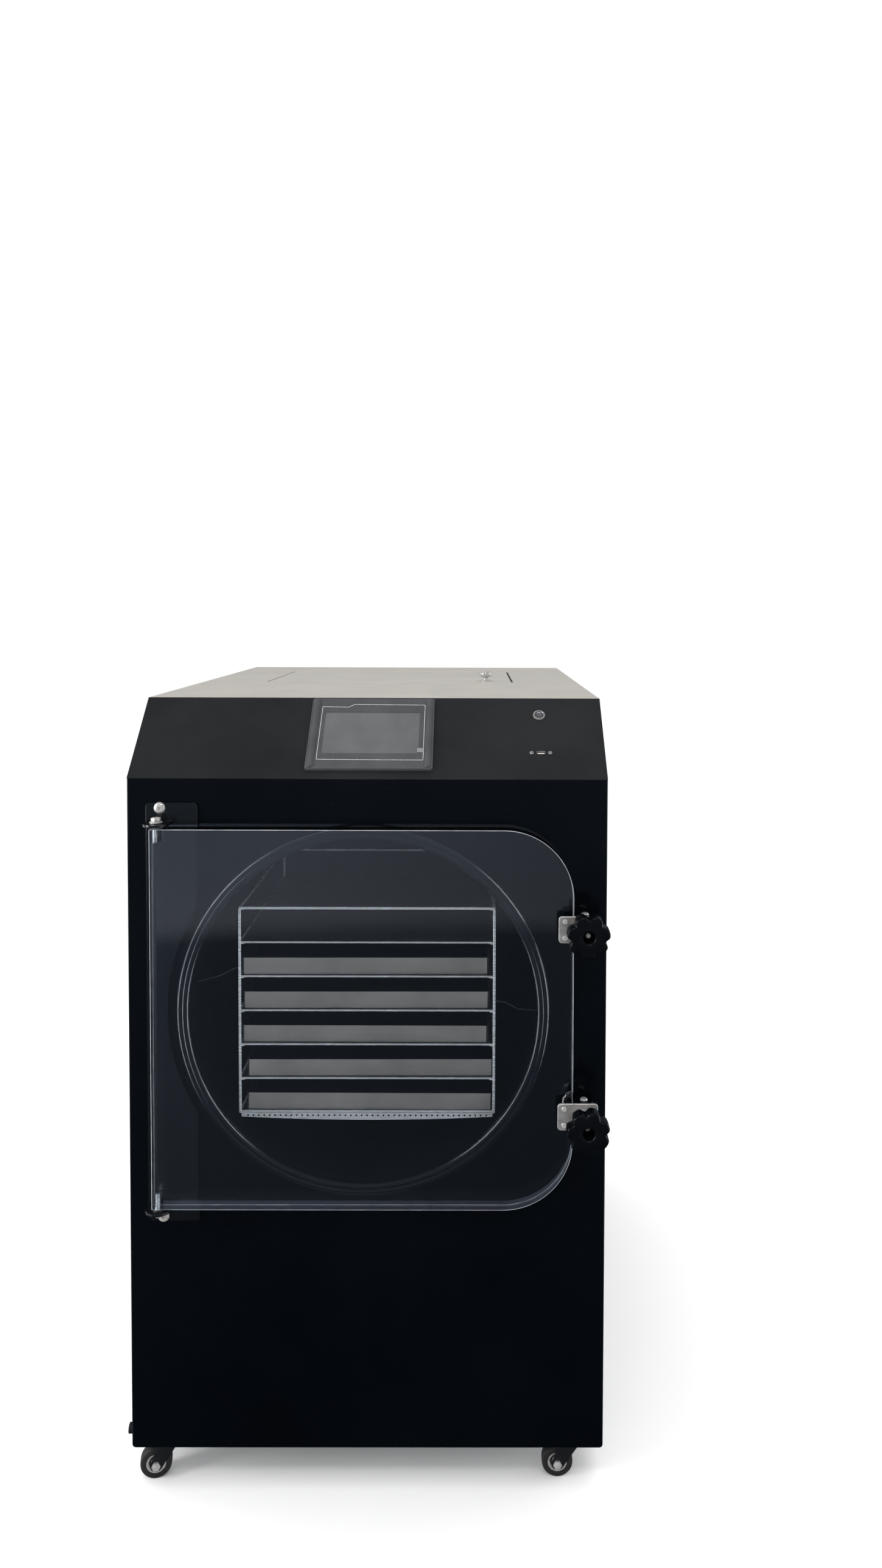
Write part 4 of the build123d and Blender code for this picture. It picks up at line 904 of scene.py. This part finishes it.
# the bevelled front rims take the brighter bolt steel: a painted highlight along the plates' edges
for face in clampPlates.faces:
    face.normal_update()
    face.material_index = int(0.15 < abs(face.normal.y) < 0.98)
finishPiece("clampPlates", clampPlates, "door", "plateSteel boltSteel", ("clamp_plates",))
fixings = joined(*(makePlateFixings(end) for end in clampEnds))
finishPiece("clampPlateFixings", fixings, "door", "boltSteel", ("clamp_plate_fixings",))

pivot = {
    "radius": 0.008, "edge": 0.0008, "journal": 0.004, "cap": 0.006, "capHigh": 0.0034, "capEdge": 0.0006,
    "bore": 0.0056, "y": -0.021, "bracket": 0.018, "sheet": 0.003,
}


def makePivot(end):
    # the upper half's profile, and the same below
    radius, edge, cap = pivot["radius"], pivot["edge"], pivot["cap"]
    body = pivot["bracket"] - pivot["sheet"] - slack
    reach = pivot["bracket"] + slack
    crown = reach + pivot["capHigh"]
    half = [(radius, body - edge), (radius - edge, body), (pivot["journal"], body), (pivot["journal"], reach)]
    half += [(cap, reach), *domeOf(cap, reach + pivot["capEdge"], crown, 0.6, range(0, 91, 18)), (0, crown)]
    profile = [(r, -h) for r, h in reversed(half)] + half
    shape = turned(profile, placed(clampX, frontY + pivot["y"], clampZ[end]))
    bore = discOf(pivot["bore"], -0.012, 0.012, alongY(clampX, clampZ[end], frontY + pivot["y"]), 32)
    return carved(shape, bore)


pivots = joined(*(makePivot(end) for end in clampEnds))
finishPiece("clampPivots", pivots, "cabinet", "polishedSteel", ("clamp_pivots",))

knob = {
    "radius": 0.0325, "valley": 0.006, "lobes": 7, "lobeSteps": 26, "lobeWidth": 2.6, "head": 0.024, "edge": 0.0032,
    "hub": 0.016, "hubRadius": 0.015, "hole": 0.009, "holeDepth": 0.022,
    "mouth": ((0.0112, -0.002), (0.0112, -0.0002), (0.0102, 0.0003), (0.0094, 0.0009)),
    "groove": ((0.0132, -0.001), (0.0132, 0.0002), (0.0136, 0.0004), (0.0140, 0.0002), (0.0140, -0.001)),
    "turns": {"upper": 12, "lower": 22}, "boltShows": {"upper": 0.007, "lower": 0.0},
}


def makeKnob(end):
    # height 0 is the front face; the hole is flared at its mouth and a shallow groove rings it
    shape = bmesh.new()
    bmesh.ops.create_circle(shape, cap_ends=True, segments=knob["lobes"] * knob["lobeSteps"], radius=1)
    for vert in shape.verts:
        angle = math.atan2(vert.co.y, vert.co.x)
        dip = (0.5 - 0.5 * math.cos(knob["lobes"] * angle)) ** knob["lobeWidth"]
        vert.co = Vector((math.cos(angle), math.sin(angle), 0)) * (knob["radius"] - knob["valley"] * dip)
    pushed(shape, shape.faces[:], (0, 0, knob["head"]))
    bmesh.ops.recalc_face_normals(shape, faces=shape.faces)
    bevelled(shape, [e for e in shape.edges if e.calc_face_angle(0) > 1.2], knob["edge"], 5)
    r, depth, head = knob["hole"], knob["holeDepth"], knob["head"]
    hole = turned([(0, -0.002), *knob["mouth"], (r, 0.0018), (r, depth), (0, depth)], steps=56)
    groove = turned(knob["groove"], steps=56, closed=True)
    hub = ringOf(knob["hubRadius"], clamp["bolt"] + 0.0001, head - 0.001, head + knob["hub"], steps=48, edge=0.001)
    whole = joined(carved(shape, hole, groove), hub)
    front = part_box(f"clamp_knob_{end}")[0].y
    return moved(whole, alongY(clampX, clampZ[end], front) @ turnedBy(-knob["turns"][end], "Z"))


def makeWasher(end):
    low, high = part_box(f"clamp_washer_{end}")
    place = alongY(clampX, clampZ[end], low.y)
    return ringOf((high.x - low.x) / 2, clamp["bolt"] + slack, 0, high.y - low.y, place, 56, 0.0006)


def makeClampBolt(end):
    low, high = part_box(f"clamp_bolt_{end}")
    place = alongY(clampX, clampZ[end], low.y)
    b, tip, long = clamp["bolt"], -knob["boltShows"][end], high.y - low.y
    plain = long - clamp["threadLong"]
    profile = [(0, tip), (b * 0.55, tip), (b * 0.9, tip + 0.0009), (b, tip + 0.002), (b, plain), (0, plain)]
    shank = turned(profile, place, 32)
    thread = screwThread(clamp["thread"] - 0.0008, clamp["thread"], clamp["pitch"], plain - 0.0005, long, place)
    return joined(shank, thread)


for end in clampEnds:
    body, washer, bolt = f"clamp_knob_{end}", f"clamp_washer_{end}", f"clamp_bolt_{end}"
    finishPiece(f"clampKnob_{end}", makeKnob(end), body, "knobPlastic", (body,), 40)
    finishPiece(f"clampWasher_{end}", makeWasher(end), washer, "polishedSteel", (washer,))
    finishPiece(f"clampBolt_{end}", makeClampBolt(end), body, "boltSteel", (bolt,))
print("clamps done")


# touch screen, its printed line and the film's tab

screen = {
    "u": 0.0005, "v": 0.089, "wide": 0.2004, "high": 0.1465, "proud": 0.006, "corner": 0.004, "edge": 0.0015,
    "showWide": 0.1541, "showHigh": 0.0859, "ribRadius": 0.006, "ribInset": 0.008, "ribSunk": 0.002,
    "glass": (0.0034, 0.0052), "glassOver": 0.004, "line": 0.00055, "lineThick": 0.00006, "lineCorner": 0.0014,
    "outline": (
        (-0.0823, 0.1438), (-0.0393, 0.1427), (-0.0309, 0.1486), (0.0854, 0.1479), (0.0855, 0.0324), (-0.0828, 0.0336),
    ),
    "tab": (0.0799, 0.0527, 0.0095, 0.0085), "film": (0.0061, 0.0063),
}
screenPlace = onSlope(screen["u"], screen["v"])


def makeBezel():
    w, h, top = screen["wide"] / 2, screen["high"] / 2, screen["proud"]
    shape = roundBlock((-w, -h, 0), (w, h, top), screen["corner"], 2, 5)
    rim = [e for e in shape.edges if all(v.co.z > top - 1e-6 for v in e.verts)]
    bevelled(shape, rim, screen["edge"], 3)
    sw, sh = screen["showWide"] / 2, screen["showHigh"] / 2
    parts = [carved(shape, roundBlock((-sw, -sh, -0.002), (sw, sh, 0.02), 0.0008, 2, 3))]
    # a half-round rib down each side
    r = screen["ribRadius"]
    profile = mirrored([(0, 0.0022 - h), (r * 0.7, 0.0022 - h), (r, 0.004 - h)])
    for side in (-1, 1):
        rib = turned(profile, alongY(side * (w - screen["ribInset"]), top - screen["ribSunk"]))
        everything = rib.verts[:] + rib.edges[:] + rib.faces[:]
        under = (0, 0, top - 0.0045)
        bmesh.ops.bisect_plane(rib, geom=everything, plane_co=under, plane_no=(0, 0, -1), clear_outer=True)
        parts.append(rib)
    return moved(joined(*parts), screenPlace)


def makeGlass():
    w, h = (screen[key] / 2 + screen["glassOver"] for key in ("showWide", "showHigh"))
    low, high = screen["glass"]
    return moved(roundBlock((-w, -h, low), (w, h, high), 0.0015, 2, 3), screenPlace)


def makePrintedLine():
    # a thin frame line printed round the display, a little above the face
    shape = bmesh.new()
    z = screen["proud"] + 0.00004
    face = shape.faces.new([shape.verts.new((u, v, z)) for u, v in reversed(screen["outline"])])
    bevelled(shape, face.verts, screen["lineCorner"], 3, "VERTICES")
    framed(shape, screen["line"], (0, 0, screen["lineThick"]))
    return moved(shape, slopeFrame)


def makeFilmTab():
    u, v, w, h = screen["tab"]
    low, high = screen["film"]
    return moved(roundBlock((u - w / 2, v - h / 2, low), (u + w / 2, v + h / 2, high), 0.0012, 2, 3), slopeFrame)


finishPiece("screenBezel", makeBezel(), "cabinet", "bezelPlastic", ("screen_bezel",))
finishPiece("screenGlass", makeGlass(), "cabinet", "screenGlass", ("screen_glass",))
finishPiece("printedLine", makePrintedLine(), "cabinet", "printedLine")
finishPiece("filmTab", makeFilmTab(), "cabinet", "screenFilm")
print("screen done")


# push button and data socket

button = {
    "u": 0.2715, "v": 0.131, "ring": 0.010, "ringHigh": 0.0024, "cap": 0.007, "barrel": 0.0083,
    "depth": 0.024, "bore": 0.0043, "boreDepth": 0.008, "nut": 0.0208, "nutAt": (-0.0055, -0.002),
    "capFace": (
        (0, 0.0012), (0.0004, 0.0017), (0.0009, 0.0018), (0.0016, 0.0016), (0.0022, 0.0013), (0.0044, 0.0012),
        (0.0048, 0.0009), (0.0052, 0.0012),
    ),  # inwards from the rim, height
}
socket = {
    "v": 0.0528, "wide": 0.0132, "high": 0.0058, "wall": 0.0006, "flange": (0.019, 0.007), "tongue": 0.0050,
    "screwStep": 0.0147, "screw": 0.0032, "screwBore": 0.0011,
}
buttonPlace = onSlope(button["u"], button["v"])
socketPlace = onSlope(button["u"], socket["v"])


def makeButtonBody():
    ring, high, barrel, depth = (button[key] for key in ("ring", "ringHigh", "barrel", "depth"))
    hole, bore, deep = button["cap"] + slack, button["bore"], button["boreDepth"]
    profile = [
        (hole, high - 0.0006), (hole + 0.0006, high), (ring - 0.0010, high), (ring - 0.0003, high - 0.0005),
        (ring, high - 0.0013), (ring, 0), (barrel, 0), (barrel, -depth), (bore, -depth), (bore, -deep), (hole, -deep),
    ]
    nut = carved(hexagonOf(button["nut"], *button["nutAt"], 0.0006), discOf(barrel - slack, -0.01, 0.004))
    return moved(joined(turned(profile, steps=56, closed=True), nut), buttonPlace)


def makeButtonCap():
    c = button["cap"]
    face = [(c - inwards, height) for inwards, height in button["capFace"]]
    profile = [(0, -0.017), (0.004, -0.017), (0.004, -0.004), (c, -0.004), *face, (0, 0.0012)]
    return moved(turned(profile, steps=56), buttonPlace)


def makeSocket():
    w, h, wall = socket["wide"] / 2, socket["high"] / 2, socket["wall"]
    shell = roundBlock((-w, -h, -0.018), (w, h, 0.0008), 0.0008, 2, 3)
    hole = roundBlock((wall - w, wall - h, -0.015), (w - wall, h - wall, 0.004), 0.0005, 2, 3)
    long, tall = socket["flange"]
    parts = [carved(shell, hole), roundBlock((-long, -tall, -0.004), (long, tall, -0.002), 0.002, 2, 4)]
    r, bore = socket["screw"], socket["screwBore"]
    profile = [
        (0, -0.007), (0.0015, -0.007), (0.0015, 0), (r, 0), (r, 0.0007), (r * 0.85, 0.0013), (r * 0.6, 0.0016),
        (bore, 0.0016), (bore, 0.0007), (0, 0.0006),
    ]
    for side in (-1, 1):
        parts.append(turned(profile, placed(side * socket["screwStep"], 0, 0), 32))
    return moved(joined(*parts), socketPlace)


def makeSocketTongue():
    w = socket["tongue"]
    return moved(roundBlock((-w, -0.0018, -0.0155), (w, -0.0002, -0.0004), 0.0004, 2, 3), socketPlace)


finishPiece("buttonBody", makeButtonBody(), "cabinet", "plateSteel", ("button_body",))
finishPiece("buttonCap", makeButtonCap(), "power_button", "zinc", ("power_button",))
finishPiece("dataSocket", makeSocket(), "cabinet", "plateSteel", ("usb_socket",))
finishPiece("socketTongue", makeSocketTongue(), "cabinet", "whitePlastic")
print("button and socket done")


# top hatch and its knob

lid = {
    "gap": 0.0025, "edge": 0.0006, "knobX": 0.190, "knobInset": 0.034, "knobHole": 0.014,
    "knobShape": (
        (0, 0), (0.0090, 0), (0.0090, 0.0014), (0.0082, 0.0024), (0.0056, 0.0034), (0.0050, 0.0060),
        (0.0058, 0.0086), (0.0095, 0.0096), (0.0118, 0.0112), (0.0125, 0.0136), (0.0123, 0.0164), (0.0110, 0.0188),
        (0.0090, 0.0200), (0.0072, 0.0198), (0.0060, 0.0184), (0, 0.0178),
    ),
}
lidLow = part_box("hatch_lid")[0]
lidKnob = Vector((lid["knobX"], lidLow.y - lid["gap"] + lid["knobInset"], topHigh.z))


def makeLid():
    # the sheet without its plain knob, a little narrower so that its gap shows
    sheet = softened("hatch_lid", lid["edge"], 40, (lidKnob.x, lidKnob.y, lid["knobHole"]))
    ends = [vertex.co.x for vertex in sheet.verts]
    shrink = 1 - lid["gap"] / (max(ends) - min(ends))
    middle = placed(-(max(ends) + min(ends)) / 2, 0, 0)
    bmesh.ops.scale(sheet, vec=(shrink, 1, 1), space=middle, verts=sheet.verts)
    return sheet


lidTop = turned(lid["knobShape"], Matrix.Translation(lidKnob), 56)
finishPiece("hatchLid", makeLid(), "hatch", "topSteel", ("hatch_lid",), 30, flatFace)
finishPiece("hatchKnob", lidTop, "hatch", "boltSteel")
print("hatch done")


# casters: plate, fork, wheel

caster = {
    "radius": 0.025, "width": 0.020, "tyre": 0.0090, "turns": (12, 0, 80, 100), "axle": 0.00405,
    "shoulder": ((0.0030, 0), (0.0012, 0.0008), (0.0003, 0.0022), (0, 0.0045)),  # in from the tread, from the side
    "hub": ((0.0075, -0.0017), (0.0075, 0.0012), (0.0085, 0.0026)),  # radius, from the side
    "rim": ((0.0045, 0.0026), (0.0028, 0.0004), (0.0008, 0.0002), (0, 0.0012)),  # in from the tyre, from the side
    "discFrom": 0.0080, "discTo": 0.0040, "boltRadius": 0.0072, "boltFace": 0.00012,
    "edge": 0.0005, "plateEdge": 0.0006,
}


def makeWheel(place):
    r, w = caster["radius"], caster["width"] / 2
    core = r - caster["tyre"]
    tread = mirrored([(core, -w)] + [(r - a, b - w) for a, b in caster["shoulder"]])
    tyre = turned(tread + [(core - 0.0004, w - 0.0010), (core - 0.0004, 0.0010 - w)], place, 64, closed=True)
    half = [(caster["axle"], caster["hub"][0][1] - w)] + [(a, b - w) for a, b in caster["hub"]]
    half += [(core - a, b - w) for a, b in caster["rim"]]
    hub = turned(mirrored(half), steps=64, closed=True)
    for face in hub.faces:
        spot = face.calc_center_median()
        away = math.hypot(spot.x, spot.y)
        face.material_index = int(caster["discFrom"] < away < core - caster["discTo"])
    return tyre, moved(hub, place)


def makeFork(end, centre, axle):
    # small faces near the axle are its bolt
    fork = softened(f"caster_fork_{end}", caster["edge"], 40)
    for face in fork.faces:
        away = face.calc_center_median() - centre
        near = (away - axle * away.dot(axle)).length < caster["boltRadius"]
        face.material_index = int(near and face.calc_area() < caster["boltFace"])
    return fork


for end, degrees in zip(casterEnds, caster["turns"]):
    centre, turn = jointPlace(f"caster_roll_{end}"), turnedBy(degrees, "Z")
    tyre, hub = makeWheel(Matrix.Translation(centre) @ turn @ turnedBy(-90, "X"))
    wheel, fork = f"caster_wheel_{end}", f"caster_fork_{end}"
    finishPiece(f"casterTyre_{end}", tyre, wheel, "tyreRubber", (wheel,), 40)
    finishPiece(f"casterHub_{end}", hub, wheel, "boltSteel darkPlastic", (), 40)
    shape = makeFork(end, centre, turn @ Vector((0, 1, 0)))
    finishPiece(f"casterFork_{end}", shape, fork, "darkZinc boltSteel", (fork,), 35)
plates = softened("caster_plates", caster["plateEdge"], 40)
finishPiece("casterPlates", plates, "cabinet", "darkZinc", ("caster_plates",), 35)
print("casters done")


# camera, light and floor

view = {
    "place": (0.1599, -1.710 + frontY, 1.408), "yaw": -0.0037, "pitch": -0.0377, "roll": -0.0034,
    "lens": 25.43, "shift": (-0.0217, -0.0862),
}
studio = {
    # white behind the machine, grey high up and far to the left, an even fill
    "backdrop": 1.0, "above": (0.13, 0.145, 0.17), "fill": 1.18,
    # the dim room that shiny surfaces mirror, from below to high
    "lowest": (0.010, 0.014, 0.022), "low": (0.105, 0.130, 0.168),
    "level": (0.120, 0.140, 0.172), "high": (0.16, 0.165, 0.17),
    "window": 0.7, "windowInside": 5.0, "windowTowards": (0.86, 0.40, 0.31), "windowEdge": (0.91, 0.985),
    # the wall that the clear door mirrors, from its top to its foot
    "wallBright": (0.74, 0.82, 1.08), "wallMiddle": (0.90, 0.96, 1.08),
    "wallDark": (0.15, 0.18, 0.235), "wallFar": (0.14, 0.165, 0.20),
    "floor": (0.92, 0.92, 0.92), "floorSize": 14,
}
lamps = {  # place, target, size, power, whether shiny surfaces show it
    "skyPanel": ((0.0, 0.2, 3.4), (0, 0.1, 0.9), (3.4, 3.4), 45, False),
    "leftStrip": ((-2.4, -1.5, 1.5), (0, -0.4, 0.8), (0.45, 2.0), 40, True),
    "topStrip": ((0.3, -2.4, 2.9), (0, -0.4, 0.9), (1.6, 0.3), 14, True),
    "rightWall": ((2.6, 0.1, 0.8), (0, -0.3, 0.7), (1.0, 1.8), 12, True),
    "leftWall": ((-2.6, 0.3, 0.7), (0, -0.3, 0.7), (0.6, 1.6), 5, True),
}


def makeCamera():
    data = bpy.data.cameras.new("view")
    data.lens = view["lens"]
    data.shift_x, data.shift_y = view["shift"]
    data.clip_start, data.clip_end = 0.05, 60
    camera = bpy.data.objects.new("view", data)
    bpy.context.scene.collection.objects.link(camera)
    camera.matrix_world = (
        Matrix.Translation(view["place"])
        @ Matrix.Rotation(view["yaw"], 4, "Z")
        @ Matrix.Rotation(view["pitch"], 4, "X")
        @ Matrix.Rotation(view["roll"], 4, "Y")
        @ turnedBy(90, "X")
    )
    bpy.context.scene.camera = camera


def makeLamp(name, place, target, size, power, inGloss):
    data = bpy.data.lights.new(name, "AREA")
    data.shape = "RECTANGLE"
    data.size, data.size_y = size
    data.energy = power
    lamp = bpy.data.objects.new(name, data)
    bpy.context.scene.collection.objects.link(lamp)
    aim = (Vector(target) - Vector(place)).to_track_quat("-Z", "Y")
    lamp.matrix_world = Matrix.Translation(place) @ aim.to_matrix().to_4x4()
    lamp.visible_glossy = inGloss
    lamp.visible_transmission = False


def makeWorld():
    # white behind the machine, an even fill, a dim room in its gloss and a wall in its clear door
    world = bpy.data.worlds.new("studio")
    world.use_nodes = True
    tree = world.node_tree
    tree.nodes.clear()
    direction = tree.nodes.new("ShaderNodeTexCoord").outputs["Generated"]
    axes = addNode(tree, "SeparateXYZ", {"Vector": direction}).outputs
    path = tree.nodes.new("ShaderNodeLightPath").outputs

    def background(colour, strength=1.0):
        return addNode(tree, "Background", {"Color": colour, "Strength": strength}).outputs[0]

    def blend(first, second, factor):
        return addNode(tree, "MixShader", {0: factor, 1: first, 2: second}).outputs[0]

    def bounces(kind, count):
        # 1 for a ray with so many bounces of a kind or more, else 0
        return rise(tree, path[f"{kind} Depth"], count - 0.6, count - 0.4)

    def fewerBounces(kind, count):
        return rise(tree, path[f"{kind} Depth"], count - 0.4, count - 0.6)

    # the room, with a soft bright window high on either side, stronger on what stands behind the door
    heights = zip((0.22, 0.41, 0.5, 0.95), (studio[key] for key in ("lowest", "low", "level", "high")))
    sky = ramp(tree, rise(tree, axes["Z"], -1.0, 1.0), list(heights))
    eitherSide = addNode(tree, "VectorMath", {0: direction})
    eitherSide.operation = "ABSOLUTE"
    towardsWindow = Vector(studio["windowTowards"]).normalized()
    nearWindow = addNode(tree, "VectorMath", {0: eitherSide.outputs["Vector"], 1: towardsWindow})
    nearWindow.operation = "DOT_PRODUCT"
    glow = rise(tree, nearWindow.outputs["Value"], *studio["windowEdge"])
    strengths = [(studio[key],) * 3 for key in ("window", "windowInside")]
    window = mixColour(tree, bounces("Transmission", 3), *strengths)
    room = background(mixColour(tree, glow, sky, window))

    # the wall: pale above, darker below and to the right
    heights = zip((0.0, 0.535, 0.575, 0.95), (studio["wall" + key] for key in ("Far", "Dark", "Middle", "Bright")))
    tones = ramp(tree, rise(tree, axes["Z"], -0.5, -0.1), list(heights))
    wall = background(mixColour(tree, remap(tree, axes["X"], 1.0, 0.5, -0.16, 0.12), (0, 0, 0), tones))

    white = background((1, 1, 1), studio["backdrop"])
    above = background(studio["above"])
    upward = blend(white, above, rise(tree, axes["Z"], 0.35, 0.6))
    through = blend(upward, above, remap(tree, axes["X"], 0.0, 0.8, -0.35, -0.75))
    seen = blend(through, white, path["Is Camera Ray"])
    lit = blend(seen, background((1, 1, 1), studio["fill"]), bounces("Diffuse", 1))
    shiny = blend(lit, room, bounces("Glossy", 1))
    # a mirror bounce between one way in and one way out is the door's far face
    inAndOut = product(tree, bounces("Transmission", 2), fewerBounces("Transmission", 3))
    byMirror = product(tree, bounces("Glossy", 1), fewerBounces("Diffuse", 1))
    whole = blend(shiny, wall, product(tree, inAndOut, byMirror))
    addNode(tree, "OutputWorld", {"Surface": whole})
    bpy.context.scene.world = world


def makeFloor():
    shape = bmesh.new()
    bmesh.ops.create_grid(shape, x_segments=2, y_segments=2, size=studio["floorSize"])
    floor = asObject(shape, "floor")
    floor.data.materials.append(newMaterial("studioFloor", studio["floor"], 0.9, 0.0, 0.1)[0])
    floor.visible_glossy = False
    floor.visible_transmission = False


bpy.context.scene.view_settings.view_transform = "Standard"
makeCamera()
makeWorld()
makeFloor()
for name, values in lamps.items():
    makeLamp(name, *values)
print("camera and studio ready")
